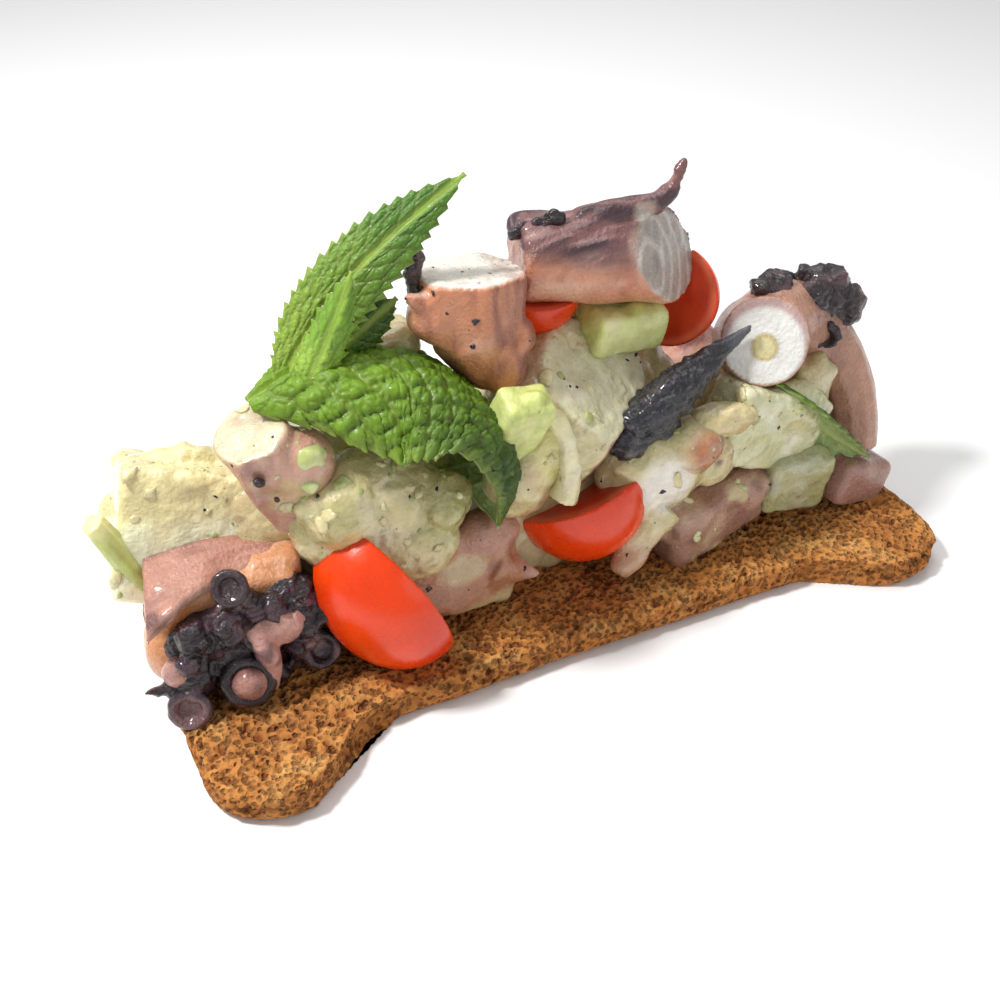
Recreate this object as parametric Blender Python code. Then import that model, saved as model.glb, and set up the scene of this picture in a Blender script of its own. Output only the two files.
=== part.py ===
"""Open sandwich of octopus salad on a thin slice of wholegrain toast.

The origin is the centre of the toast's flat underside, +X runs along the slice, +Z is up.
Sizes and places below are in millimetres, and every mesh is made in metres by mm().
"""
import math

import bmesh
import bpy
from mathutils import Euler, Matrix, Vector, noise

MM = 0.001
GAP = 0.3                      # clear space between pieces that lie against each other

TOAST_LENGTH = 121.0
TOAST_WAIST = 42.6             # width across the middle of the slice
TOAST_THICK = 5.0
LEFT_EAR = 10.0                # how far the end lobes stand out past the waist
RIGHT_EAR = 7.0
EAR_START = 36.0               # distance from the middle where a lobe begins
EAR_FULL = 50.0
CORNER_RADIUS = 9.0
RIM_ROUND = 1.2

COLOURS = {
    "toast": ("#b5803f", 0.85),
    "pink": ("#b07f74", 0.35),
    "pale": ("#d9cfae", 0.35),
    "dark": ("#3a2c38", 0.3),
    "white": ("#e2dcd6", 0.4),
    "tomato": ("#d93a14", 0.2),
    "mint": ("#3f7a1c", 0.45),
    "celery": ("#b7c36e", 0.3),
    "onion": ("#ddd7a0", 0.3),
}

# Midribs of the mint leaves, from stalk to tip.
LARGE_LEAF_MIDRIB = [(-43, -0.5, 44.5), (-33, 0, 47.5), (-22, 0, 46),
                     (-14, -3, 39.5), (-11, -8, 31), (-12.5, -11.5, 21)]
UPRIGHT_LEAF_MIDRIB = [(-39, 0, 43.5), (-35, 0.5, 50), (-29, 0.5, 57), (-21, 0, 63.5), (-12, 0, 69)]
RIGHT_LEAF_MIDRIB = [(28.5, -4, 33.5), (35, -7, 29), (41.5, -9.5, 23.5), (47, -11, 18.5), (53.5, -11.5, 13)]


def mm(x, y, z):
    return Vector((x, y, z)) * MM


def linear(hex_colour):
    """An sRGB hex colour as linear RGBA."""
    parts = [int(hex_colour[i:i + 2], 16) / 255 for i in (1, 3, 5)]
    return [((c + 0.055) / 1.055) ** 2.4 if c > 0.04045 else c / 12.92 for c in parts] + [1.0]


def material(name):
    found = bpy.data.materials.get(name)
    if found:
        return found
    made = bpy.data.materials.new(name)
    made.use_nodes = True
    shader = made.node_tree.nodes["Principled BSDF"]
    colour, roughness = COLOURS[name]
    shader.inputs["Base Color"].default_value = linear(colour)
    shader.inputs["Roughness"].default_value = roughness
    shader.inputs["Metallic"].default_value = 0.0
    return made


def to_object(name, mesh_data, finish):
    """A named object from a bmesh whose points are already in metres."""
    bmesh.ops.recalc_face_normals(mesh_data, faces=mesh_data.faces)
    if mesh_data.calc_volume(signed=True) < 0:
        bmesh.ops.reverse_faces(mesh_data, faces=mesh_data.faces)
    mesh = bpy.data.meshes.new(name)
    mesh_data.to_mesh(mesh)
    mesh_data.free()
    mesh.materials.append(material(finish))
    made = bpy.data.objects.new(name, mesh)
    bpy.context.scene.collection.objects.link(made)
    return made


def turn(degrees):
    return Euler([math.radians(d) for d in degrees]).to_matrix()


def boxy(direction, power):
    """Moves a point of the unit sphere out towards a rounded block: power 2 is round."""
    size = sum(abs(c) ** power for c in direction) ** (1 / power)
    return direction / size


def lump(name, finish, at, size, turned=(0, 0, 0), power=2.0, rough=0.06, grain=1.6, fine=2):
    """An uneven rounded block, for chunks of potato, celery and dressed octopus."""
    made = bmesh.new()
    bmesh.ops.create_icosphere(made, subdivisions=fine, radius=1)
    seed = Vector((at[0] * 0.37, at[1] * 0.71, at[2] * 0.53))
    half = Vector(size) / 2
    for point in made.verts:
        p = boxy(point.co.copy(), power)
        p *= 1 + rough * 2 * noise.noise(point.co * grain + seed)
        p = turn(turned) @ Vector((p[i] * half[i] for i in range(3)))
        point.co = (p + Vector(at)) * MM
    return to_object(name, made, finish)


def smooth_path(points, steps):
    """Points along a smooth curve through the given ones. Each holds any number of values."""
    path = []
    last = len(points) - 1
    for i in range(last):
        p0, p1, p2, p3 = (Vector(points[min(max(i + k, 0), last)]) for k in (-1, 0, 1, 2))
        for step in range(steps):
            t = step / steps
            path.append(0.5 * (2 * p1 + (p2 - p0) * t + (2 * p0 - 5 * p1 + 4 * p2 - p3) * t * t
                               + (3 * p1 - p0 - 3 * p2 + p3) * t ** 3))
    path.append(Vector(points[last]))
    return path


def skin_rings(made, rings):
    """Joins rings of bmesh points into a closed tube with a fan over each end."""
    count = len(rings[0])
    for ring, following in zip(rings, rings[1:]):
        for i in range(count):
            j = (i + 1) % count
            made.faces.new((ring[i], ring[j], following[j], following[i]))
    for ring in (rings[0], rings[-1]):
        middle = made.verts.new(sum((v.co for v in ring), Vector()) / count)
        for i in range(count):
            made.faces.new((ring[i], ring[(i + 1) % count], middle))


def limb(name, finish, points, flat=1.0, side=(0, 0, 1), steps=2, sides=12, rough=0.0, power=2.0):
    """A length of arm along a smooth path. Each point is x, y, z and the radius there."""
    path = [list(p) for p in points]
    xyz = smooth_path([p[:3] for p in path], steps)
    radii = [v[0] for v in smooth_path([(p[3], 0, 0) for p in path], steps)]
    made = bmesh.new()
    rings = []
    for i, place in enumerate(xyz):
        along = (xyz[min(i + 1, len(xyz) - 1)] - xyz[max(i - 1, 0)]).normalized()
        across = along.cross(Vector(side)).normalized()
        up = across.cross(along)
        ring = []
        for k in range(sides):
            angle = 2 * math.pi * k / sides
            c, s = math.cos(angle), math.sin(angle)
            size = (abs(c) ** power + abs(s) ** power) ** (-1 / power)
            spot = place + (across * c + up * s * flat) * radii[i] * size
            spot = spot + (spot - place) * rough * 2 * noise.noise(spot * 0.35)
            ring.append(made.verts.new(spot * MM))
        rings.append(ring)
    skin_rings(made, rings)
    return to_object(name, made, finish)


def cut(target, other, how, solver="EXACT"):
    """Applies one Boolean of the other object to the target."""
    step = target.modifiers.new("cut", "BOOLEAN")
    step.operation = how
    step.solver = solver
    step.object = other
    graph = bpy.context.evaluated_depsgraph_get()
    result = bpy.data.meshes.new_from_object(target.evaluated_get(graph))
    target.modifiers.clear()
    target.data = result


def fuse(first, *others):
    for other in others:
        cut(first, other, "UNION")
        bpy.data.objects.remove(other)
    return first


def sucker(at, facing, radius):
    """A sucker: a short flared cup with a hollow mouth."""
    made = bmesh.new()
    profile = [(0.6, -0.7), (1.0, 0.2), (0.9, 0.45), (0.6, 0.35), (0.35, -0.05)]
    rings = []
    sides = 8
    for wide, high in profile:
        ring = []
        for k in range(sides):
            angle = 2 * math.pi * k / sides
            ring.append(made.verts.new((wide * math.cos(angle), wide * math.sin(angle), high)))
        rings.append(ring)
    skin_rings(made, rings)
    spin = Vector((0, 0, 1)).rotation_difference(Vector(facing)).to_matrix()
    for point in made.verts:
        point.co = (spin @ (point.co * radius) + Vector(at)) * MM
    return to_object("sucker", made, "dark")


def wedge(name, at, size, along, facing):
    """A quarter of a small tomato: length, width and depth, with its skin facing one way."""
    made = bmesh.new()
    bmesh.ops.create_uvsphere(made, u_segments=24, v_segments=12, radius=1)
    bmesh.ops.rotate(made, verts=made.verts, cent=(0, 0, 0), matrix=Matrix.Rotation(math.pi / 2, 3, "Y"))
    for way in (-1, 1):
        sliced = bmesh.ops.bisect_plane(
            made, geom=made.verts[:] + made.edges[:] + made.faces[:], dist=1e-5,
            plane_co=(0, 0, 0), plane_no=(0, way, -1), clear_outer=True)
        rim = [e for e in sliced["geom_cut"] if isinstance(e, bmesh.types.BMEdge)]
        bmesh.ops.holes_fill(made, edges=rim, sides=0)
    out = Vector(facing).normalized()
    length_way = (Vector(along) - out * out.dot(Vector(along))).normalized()
    width_way = out.cross(length_way)
    length, width, depth = size
    for point in made.verts:
        x, y, z = point.co
        p = length_way * x * length / 2 + width_way * y * width / math.sqrt(2) + out * (z - 0.5) * depth
        point.co = (p + Vector(at)) * MM
    return to_object(name, made, "tomato")


def leaf(name, midrib, half_width, side, droop=0.0, fold=0.0, thick=0.8, steps=4, teeth=10, across=3):
    """A toothed leaf along a curved midrib. side points across it and droop bends its halves."""
    spine = smooth_path(midrib, steps)
    count = len(spine)
    made = bmesh.new()
    layers = []
    for layer in (1, -1):
        rows = []
        for i, place in enumerate(spine):
            t = i / (count - 1)
            along = (spine[min(i + 1, count - 1)] - spine[max(i - 1, 0)]).normalized()
            sideways = (Vector(side) - along * along.dot(Vector(side))).normalized()
            up = sideways.cross(along)
            width = half_width * (math.sin(math.pi * min(0.5, t * 1.15 + 0.04)) if t < 0.4
                                  else math.cos(math.pi / 2 * ((t - 0.4) / 0.6) ** 1.5))
            width = max(width, 0.5) * (1 + 0.06 * math.cos(2 * math.pi * teeth * t))
            row = []
            for k in range(-across, across + 1):
                s = k / across
                bend = droop * s * s + fold * abs(s)
                out = width * s * math.cos(bend * 0.6)
                fall = width * abs(s) * math.sin(bend)
                taper = thick / 2 * (1 - 0.6 * abs(s))
                spot = place + sideways * out - up * fall + up * taper * layer
                row.append(made.verts.new(spot * MM))
            rows.append(row)
        layers.append(rows)
    top, under = layers
    wide = 2 * across
    for i in range(count - 1):
        for k in range(wide):
            made.faces.new((top[i][k], top[i][k + 1], top[i + 1][k + 1], top[i + 1][k]))
            made.faces.new((under[i][k], under[i + 1][k], under[i + 1][k + 1], under[i][k + 1]))
        for k in (0, wide):
            made.faces.new((top[i][k], top[i + 1][k], under[i + 1][k], under[i][k]))
    for i in (0, count - 1):
        for k in range(wide):
            made.faces.new((top[i][k], top[i][k + 1], under[i][k + 1], under[i][k]))
    return to_object(name, made, "mint")


def toast_half_width(x):
    """Half the slice's width at x: a waist, a lobe at each end and rounded corners."""
    ear = LEFT_EAR if x < 0 else RIGHT_EAR
    reach = min(max((abs(x) - EAR_START) / (EAR_FULL - EAR_START), 0), 1)
    width = TOAST_WAIST / 2 + ear * reach * reach * (3 - 2 * reach)
    past = abs(x) - (TOAST_LENGTH / 2 - CORNER_RADIUS)
    if past > 0:
        width -= CORNER_RADIUS - math.sqrt(max(CORNER_RADIUS ** 2 - past ** 2, 0))
    return width


def toast():
    """The slice: one outline at five heights, with a rounded rim and a flat underside."""
    half = TOAST_LENGTH / 2
    stations = [half * math.sin(math.pi / 2 * k / 22) for k in range(-22, 23)]
    outline = [(x, -toast_half_width(x)) for x in stations]
    outline += [(x, toast_half_width(x)) for x in reversed(stations)]
    made = bmesh.new()
    rings = []
    for high, inset in ((0, RIM_ROUND), (0.25, 0), (0.8, 0), (1, RIM_ROUND)):
        ring = []
        for x, y in outline:
            ripple = 0.5 * noise.noise(Vector((x, y, 3)) * 0.16)
            shrink = 1 - (inset - ripple) / math.hypot(x, y)
            ring.append(made.verts.new(mm(x * shrink, y * shrink, high * TOAST_THICK)))
        rings.append(ring)
    skin_rings(made, rings)
    return to_object("toast", made, "toast")


def octopus_left():
    """Arm chunk at the left end: skin slab on top, dark sucker side to the front."""
    slab = lump("octopus_left", "pink", (-51, -4.5, 21.5), (24, 15, 6), (4, 4, -12), 5, 0.05)
    flesh = lump("flesh", "pink", (-50.5, -5.5, 14), (20, 12, 14), (0, 0, -8), 3, 0.06, fine=1)
    web = lump("web", "dark", (-51, -9.5, 10.5), (22, 8, 12), (0, 0, -4), 2.4, 0.14, 3.0)
    spike_line = [(-58, -10, 8.5, 2), (-61.5, -10.5, 9, 1.2), (-64.5, -11, 10, 0.3)]
    spike = limb("spike", "dark", spike_line, sides=6)
    cups = [((-51, -11.5, 23.5), (0.1, -0.8, 0.6), 3.2), ((-59, -13, 8.4), (-0.1, -0.9, 0.4), 3.0),
            ((-51, -13.6, 9), (0.1, -0.9, 0.4), 3.6), ((-41, -12.5, 9.2), (0.2, -0.9, 0.2), 3.0)]
    return fuse(slab, flesh, web, spike, *[sucker(*cup) for cup in cups])


def octopus_back():
    """Chunk on top with wrinkled dark skin, a cut right end and a curled tip."""
    body = limb("octopus_back", "pink", [(-1, 4, 54, 6.2), (8, 2, 52.5, 6.9), (18, -0.5, 50.8, 6.1)],
                flat=0.95, sides=14, power=2.6, rough=0.05)
    spike = limb("spike", "dark", [(12, 1, 55.5, 2.4), (16.5, 0.5, 59, 1.6), (20, 0.5, 62.5, 0.4)], sides=7)
    return fuse(body, spike)


def octopus_curl():
    """Curled arm at the right end: cut face to the front, bend to the right, crumbly crest on top."""
    arm = limb("octopus_curl", "pink", [(34.5, -5, 37, 6.6), (39.5, -0.5, 36.5, 6.8), (46, 2, 33.5, 6),
                                       (52, 0, 28, 5.2), (55, -3.5, 20, 4.8), (54, -7, 12, 4.2)],
               side=(0.5, -0.2, 0.8), steps=2, sides=12, rough=0.04)
    crest = lump("crest", "dark", (45, 2, 38.5), (18, 9, 7), (0, 24, 0), 2.2, 0.2, 3.0)
    cup = sucker((48, -3.5, 29), (-0.5, -0.8, 0.3), 2.4)
    return fuse(arm, crest, cup)


def octopus_middle():
    """Thick dressed section, cut face up and to the right, with a lobe of dressing below."""
    body_line = [(-2, 3, 23, 11), (0, 0, 29, 12.8), (4, -2, 34.5, 12), (7.5, -3.5, 38.5, 8.5)]
    body = limb("octopus_middle", "pale", body_line,
                flat=0.92, side=(0, 1, 0), sides=14, rough=0.05)
    lobe = lump("lobe", "pale", (-8.5, -9, 25), (9, 8, 13), (10, 15, 0), 2, 0.08, fine=1)
    return fuse(body, lobe)


def octopus_right_front():
    """Dressed chunk at the front right, with a slender end reaching down to the toast."""
    body = lump("octopus_right_front", "pale", (14.8, -9.2, 22), (24, 12, 18), (0, 10, 8), 2.3, 0.1, 2.4)
    leg = limb("leg", "pink", [(14, -11, 16, 4.5), (10, -12.5, 12, 3.2), (6.5, -13.5, 7.5, 1.8)], sides=8)
    return fuse(body, leg)


def octopus_front():
    """Flat pink piece at the front with a pointed right end."""
    body = lump("octopus_front", "pink", (-19, -7.5, 13.5), (20, 9, 15), (-12, 10, 6), 2.6, 0.12, 2.2)
    point_line = [(-12.5, -9, 12.5, 3.6), (-9, -9.8, 10.6, 2.2), (-5.5, -10.3, 8.8, 0.6)]
    point = limb("point", "pink", point_line, sides=8)
    return fuse(body, point)


def grown(piece):
    """A hidden copy of a piece that is larger all round by the gap, to cut its neighbours with."""
    cutter = piece.copy()
    cutter.data = piece.data.copy()
    bpy.context.scene.collection.objects.link(cutter)
    shape = bmesh.new()
    shape.from_mesh(cutter.data)
    shape.normal_update()
    moved = [point.co + point.normal * GAP * MM for point in shape.verts]
    for point, place in zip(shape.verts, moved):
        point.co = place
    shape.to_mesh(cutter.data)
    shape.free()
    cutter.hide_render = True
    cutter.display_type = "WIRE"
    return cutter


def box_of(piece):
    places = [v.co for v in piece.data.vertices]
    return [(min(p[i] for p in places), max(p[i] for p in places)) for i in range(3)]


def boxes_meet(a, b):
    return all(low < far and near < high for (low, high), (near, far) in zip(box_of(a), box_of(b)))


def rest_on_toast(piece):
    """Cuts a piece off level, just above the top of the slice."""
    shape = bmesh.new()
    shape.from_mesh(piece.data)
    floor = (TOAST_THICK + GAP) * MM
    if min(v.co.z for v in shape.verts) < floor:
        sliced = bmesh.ops.bisect_plane(
            shape, geom=shape.verts[:] + shape.edges[:] + shape.faces[:], dist=1e-6,
            plane_co=(0, 0, floor), plane_no=(0, 0, -1), clear_outer=True)
        rim = [e for e in sliced["geom_cut"] if isinstance(e, bmesh.types.BMEdge)]
        bmesh.ops.holes_fill(shape, edges=rim, sides=0)
        shape.to_mesh(piece.data)
    shape.free()


def keep_largest(piece):
    """Drops the crumbs that a cut leaves and keeps the main body."""
    shape = bmesh.new()
    shape.from_mesh(piece.data)
    left = set(shape.verts)
    bodies = []
    while left:
        start = left.pop()
        body = {start}
        edge = [start]
        while edge:
            point = edge.pop()
            for link in point.link_edges:
                other = link.other_vert(point)
                if other not in body:
                    body.add(other)
                    edge.append(other)
        left -= body
        bodies.append(body)
    bodies.sort(key=len)
    doomed = [v for body in bodies[:-1] for v in body]
    bmesh.ops.delete(shape, geom=doomed, context="VERTS")
    shape.to_mesh(piece.data)
    shape.free()


def build():
    for old in list(bpy.data.objects):
        bpy.data.objects.remove(old)

    slice_of_toast = toast()

    # From the piece that keeps its whole shape down to the heap that fills what is left.
    pieces = [
        leaf("mint_leaf_large", LARGE_LEAF_MIDRIB,
             13, (0.15, -0.95, 0.1), droop=0.95),
        leaf("mint_leaf_upright", UPRIGHT_LEAF_MIDRIB,
             5.2, (0.5, -0.68, -0.52), fold=0.15, teeth=14),
        leaf("mint_leaf_small", [(-36, -3, 45), (-32, -3.5, 53), (-28, -3, 61)], 4.0,
             (0.7, -0.5, -0.4), fold=0.5, teeth=6),
        leaf("mint_leaf_right", RIGHT_LEAF_MIDRIB, 4.2,
             (0.3, -0.6, 0.7), droop=0.5, teeth=9, across=2),
        wedge("tomato_front_left", (-31.5, -14.5, 15.5), (26, 15, 11),
              (0.58, -0.05, -0.81), (-0.45, -0.85, 0.1)),
        wedge("tomato_front_right", (4, -9.5, 16.3), (22, 18, 12), (0.94, 0.05, 0.3), (0.1, -0.92, -0.4)),
        octopus_left(),
        octopus_back(),
        limb("octopus_top", "white", [(-13.5, -1, 42, 6.5), (-13, 0, 48, 7.6), (-11.5, 2, 54, 8.8)],
             side=(0, 1, 0), sides=12, rough=0.05, power=2.6),
        lump("octopus_right_end", "pink", (52, -9.5, 8.8), (12, 9, 10.5), (0, 20, 10), 2.6, 0.08),
        octopus_curl(),
        limb("octopus_dark_tip", "dark", [(8, -10, 30.5, 3.6), (14, -9, 33, 4),
                                         (20, -8, 35.5, 3.4), (25, -6.5, 37.5, 2),
                                          (28.5, -5.5, 39, 0.7)], sides=9, rough=0.12),
        lump("celery_middle", "celery", (-9.8, -10, 37), (9, 6, 12), (20, 12, 5), 4.5, 0.05),
        octopus_middle(),
        wedge("tomato_back", (-0.8, 3.4, 45.6), (15, 11, 7.5), (1, -0.16, 0.05), (-0.2, -0.6, -0.7)),
        wedge("tomato_back_right", (25, 3, 40.5), (15, 13, 8), (0.62, 0, 0.78), (0.75, -0.3, -0.5)),
        lump("celery_top", "celery", (12, 0.5, 42), (13, 8.5, 7), (5, 8, 6), 4.5, 0.04),
        lump("celery_left", "celery", (-62, 1.5, 24.5), (5, 5.5, 12.5), (10, -10, 12), 3.6, 0.05, fine=1),
        lump("onion_strip", "onion", (24, -10.5, 28.5), (11, 6, 5.5), (0, 12, 0), 2.2, 0.08),
        octopus_front(),
        octopus_right_front(),
        lump("octopus_right_low", "pink", (24, -9.5, 10.5), (19, 10, 12), (0, -8, 12), 2.6, 0.1, 2.2),
        lump("celery_right", "celery", (34.5, -7, 22.5), (22, 9, 14), (0, 24, 6), 3.0, 0.1, 2.0),
        lump("celery_right_low", "celery", (40, -8.5, 12), (13, 9, 11), (0, 10, 0), 3.0, 0.1, 2.0),
        lump("potato_right", "pale", (46.5, -3.5, 23), (13, 10, 20), (0, 12, 0), 2.6, 0.1, 2.0, fine=1),
        lump("octopus_dressed_left", "pale", (-42, -2, 35), (14, 12, 18), (-10, 20, 0), 2.8, 0.08),
        lump("potato_left", "pale", (-53.5, 6.5, 23), (20, 16, 20), (-22, 16, -8), 4.5, 0.06),
        lump("potato_middle", "pale", (-29.5, -6, 24.5), (25, 13, 22), (-10, 14, 0), 2.3, 0.1, 2.0),
        lump("potato_back_left", "onion", (-22.5, 4, 44), (8, 8, 9), (0, 10, 0), 2.6, 0.08, fine=1),
        lump("dressed_salad", "pale", (-1, 4, 15), (104, 25, 34), (0, 0, -2), 2.6, 0.12, 2.6),
    ]
    cutters = [grown(piece) for piece in pieces]
    for number, piece in enumerate(pieces):
        rest_on_toast(piece)
        for cutter in cutters[:number]:
            if boxes_meet(piece, cutter):
                cut(piece, cutter, "DIFFERENCE", "MANIFOLD")
        keep_largest(piece)
    for cutter in cutters:
        bpy.data.objects.remove(cutter)
    for piece in pieces + [slice_of_toast]:
        for polygon in piece.data.polygons:
            polygon.use_smooth = True
        piece.data.set_sharp_from_angle(angle=math.radians(40))


build()
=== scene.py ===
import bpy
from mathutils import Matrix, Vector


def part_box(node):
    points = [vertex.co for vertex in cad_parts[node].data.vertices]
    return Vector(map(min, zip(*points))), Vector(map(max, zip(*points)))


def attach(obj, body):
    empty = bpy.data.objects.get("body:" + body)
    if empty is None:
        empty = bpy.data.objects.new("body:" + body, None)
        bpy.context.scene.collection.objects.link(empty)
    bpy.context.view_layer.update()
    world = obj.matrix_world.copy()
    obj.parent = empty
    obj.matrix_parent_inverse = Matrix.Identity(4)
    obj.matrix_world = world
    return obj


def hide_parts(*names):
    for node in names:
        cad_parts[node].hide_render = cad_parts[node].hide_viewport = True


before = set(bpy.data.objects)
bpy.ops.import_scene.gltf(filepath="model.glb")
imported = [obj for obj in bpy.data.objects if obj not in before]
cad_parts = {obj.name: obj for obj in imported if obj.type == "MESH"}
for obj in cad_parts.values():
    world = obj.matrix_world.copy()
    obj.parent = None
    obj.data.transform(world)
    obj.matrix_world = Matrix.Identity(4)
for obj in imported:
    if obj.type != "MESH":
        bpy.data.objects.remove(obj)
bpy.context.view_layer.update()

# An open sandwich: octopus salad heaped on a slice of toast. Lengths in this script are in millimetres
# until they reach Blender, which works in metres. +X is the toast's length, -Y its front, +Z up.

import itertools
import math

import bmesh
import bpy
import numpy as np
from mathutils import Euler, Vector

MM = 0.001

# ---------------------------------------------------------------------------------------- camera, light

CAMERA_AT = (-67.36, -130.11, 129.19)
CAMERA_AIM = (-5.96, 2.76, 13.6)
LENS = 43.2


def metres(point):
    return Vector(point) * MM


def aimed(at, aim):
    """The turn that points an object's -Z axis from one place to another."""
    return (Vector(aim) - Vector(at)).to_track_quat("-Z", "Y").to_euler()


def deselect():
    bpy.ops.object.select_all(action="DESELECT")


deselect()
bpy.ops.object.camera_add(location=metres(CAMERA_AT), rotation=aimed(CAMERA_AT, CAMERA_AIM))
camera = bpy.context.object
camera.data.lens = LENS
bpy.context.scene.camera = camera


def soft_box(name, at, aim, size, power):
    bpy.ops.object.light_add(type="AREA", location=metres(at), rotation=aimed(at, aim))
    lamp = bpy.context.object
    lamp.name = name
    lamp.data.shape = "DISK"
    lamp.data.size = size * MM
    lamp.data.energy = power
    return lamp


soft_box("window", (-200, 40, 330), (0, 0, 20), 60, 1.3)
soft_box("top_light", (60, 140, 380), (0, 0, 10), 300, 0.55)
soft_box("front_fill", (180, -300, 160), (0, 0, 15), 260, 0.16)

# --------------------------------------------------------------------------------------------- colour


def linear(code):
    """An sRGB hex colour as a linear RGB array."""
    parts = np.array([int(code[i:i + 2], 16) / 255 for i in (0, 2, 4)])
    return np.where(parts <= 0.04045, parts / 12.92, ((parts + 0.055) / 1.055) ** 2.4)


CRUMB = "b97a3c"
CRUMB_PALE = "d6a562"
CRUMB_RIM = "a86529"
# Dark colour laid in the toast's pores: painted shade.
CRUMB_PORE_SHADE = "6a3414"
SKIN_PINK = "bd8f7e"
SKIN_MAUVE = "94665f"
SKIN_DARK = "2c2024"
SKIN_PURPLE = "4c3238"
DRESSING = "d3c592"
DRESSING_PALE = "e3dab4"
DRESSING_GREEN = "a9ab62"
DRESSING_TAN = "c6a176"
POTATO = "edeac4"
POTATO_YELLOW = "e2d294"
CELERY = "cfd884"
CELERY_PALE = "e6e6a8"
TOMATO_SKIN = "ee4204"
TOMATO_DEEP = "b01405"
TOMATO_FLESH = "cf3c16"
# MINT_LIT and the colour after it are the painted lit and painted shaded greens of one mint leaf.
MINT_LIT = "71961a"
MINT_SHADED = "38590c"
MINT_VEIN = "a9bd55"
MINT_UNDER = "a8bd78"

# ------------------------------------------------------------------------------- fields over the points


def hashed(cell, seed):
    """A repeatable number from 0 to 1 for each whole-number cell."""
    big = cell.astype(np.int64)
    n = (big[:, 0] * 73856093) ^ (big[:, 1] * 19349663) ^ (big[:, 2] * 83492791) ^ (seed * 2654435761)
    n = (n ^ (n >> 13)) & 0xFFFFFFFF
    n = (n * 1274126177) & 0xFFFFFFFF
    n = (n ^ (n >> 16)) & 0xFFFFFFFF
    n = (n * 2246822519) & 0xFFFFFFFF
    return ((n ^ (n >> 15)) & 0xFFFFFF) / 0xFFFFFF


def waves(points, size, seed=0, layers=1):
    """A smooth random field from -1 to 1 with lumps of this size in millimetres."""
    total = np.zeros(len(points))
    weight_sum = 0
    for layer in range(layers):
        weight = 0.5 ** layer
        place = points / size * 2 ** layer + 17.3 * (seed + 1) + 5.1 * layer
        base = np.floor(place)
        part = place - base
        part = part * part * (3 - 2 * part)
        value = np.zeros(len(points))
        for corner in itertools.product((0, 1), repeat=3):
            share = np.prod(np.where(corner, part, 1 - part), axis=1)
            value += share * hashed(base + corner, seed + 31 * layer)
        total += weight * (2 * value - 1)
        weight_sum += weight
    return total / weight_sum


def cells(points, size, seed=0):
    """Distance to the nearest and the second nearest of scattered centres this far apart, as shares."""
    place = points / size + 9.7 * (seed + 1)
    base = np.floor(place)
    near = np.full(len(points), 9.0)
    second = np.full(len(points), 9.0)
    for offset in itertools.product((-1, 0, 1), repeat=3):
        cell = base + offset
        centre = cell + np.stack([hashed(cell, seed + k) for k in (1, 2, 3)], axis=1)
        away = np.linalg.norm(place - centre, axis=1)
        second = np.minimum(second, np.maximum(near, away))
        near = np.minimum(near, away)
    return near, second


def ramp(value, low, high):
    """0 below low, 1 above high, smooth between."""
    share = np.clip((value - low) / (high - low), 0, 1)
    return share * share * (3 - 2 * share)


def warped(points, amount, size, seed=0):
    """The points pushed about, so that a pattern read at them gets uneven outlines."""
    return points + amount * np.stack([waves(points, size, seed + 20 + k) for k in range(3)], axis=1)


def dab(points, at, radius, soft=0.5):
    """1 at a place and 0 beyond a radius; radius may be three numbers."""
    away = np.linalg.norm((points - np.array(at)) / np.array(radius), axis=1)
    return 1 - ramp(away, 1 - soft, 1)


def facing(normals, way, low, high):
    """1 where the surface faces a way, 0 where it doesn't."""
    way = np.array(Vector(way).normalized())
    return ramp(normals @ way, low, high)


def blend(colours, code, share):
    share = np.clip(share, 0, 1)[:, None]
    return colours * (1 - share) + linear(code) * share


# ------------------------------------------------------------------------------------------ modelling


def points_of(piece):
    flat = np.empty(len(piece.data.vertices) * 3)
    piece.data.vertices.foreach_get("co", flat)
    return flat.reshape(-1, 3) / MM


def normals_of(piece):
    flat = np.empty(len(piece.data.vertices) * 3)
    piece.data.vertex_normals.foreach_get("vector", flat)
    return flat.reshape(-1, 3)


def move_points(piece, points):
    piece.data.vertices.foreach_set("co", (points * MM).ravel())
    piece.data.update()


def swell(piece, amount):
    """Moves each point along its normal by its own amount, in millimetres."""
    move_points(piece, points_of(piece) + normals_of(piece) * np.asarray(amount).reshape(-1, 1))


def only(piece):
    deselect()
    piece.select_set(True)
    bpy.context.view_layer.objects.active = piece


def settle(piece):
    """Puts the piece's place, turn and scale into its mesh."""
    only(piece)
    bpy.ops.object.transform_apply(location=True, rotation=True, scale=True)
    return piece


def radians(degrees):
    return tuple(math.radians(d) for d in degrees)


def ball(at, size, turned=(0, 0, 0), rings=16):
    """A ball stretched to a size."""
    deselect()
    bpy.ops.mesh.primitive_uv_sphere_add(segments=2 * rings, ring_count=rings, radius=0.5 * MM,
                                         location=metres(at), rotation=radians(turned))
    bpy.context.object.scale = size
    return settle(bpy.context.object)


def block(at, size, turned=(0, 0, 0), rounding=1.0):
    """A cut block with softened edges."""
    deselect()
    bpy.ops.mesh.primitive_cube_add(size=1, location=metres(at), rotation=radians(turned))
    piece = bpy.context.object
    piece.scale = metres(size)
    only(piece)
    bpy.ops.object.transform_apply(location=False, rotation=False, scale=True)
    bpy.ops.object.mode_set(mode="EDIT")
    bpy.ops.mesh.select_all(action="SELECT")
    bpy.ops.mesh.bevel(offset=rounding * MM, segments=3, profile=0.6)
    bpy.ops.object.mode_set(mode="OBJECT")
    return settle(piece)


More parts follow.
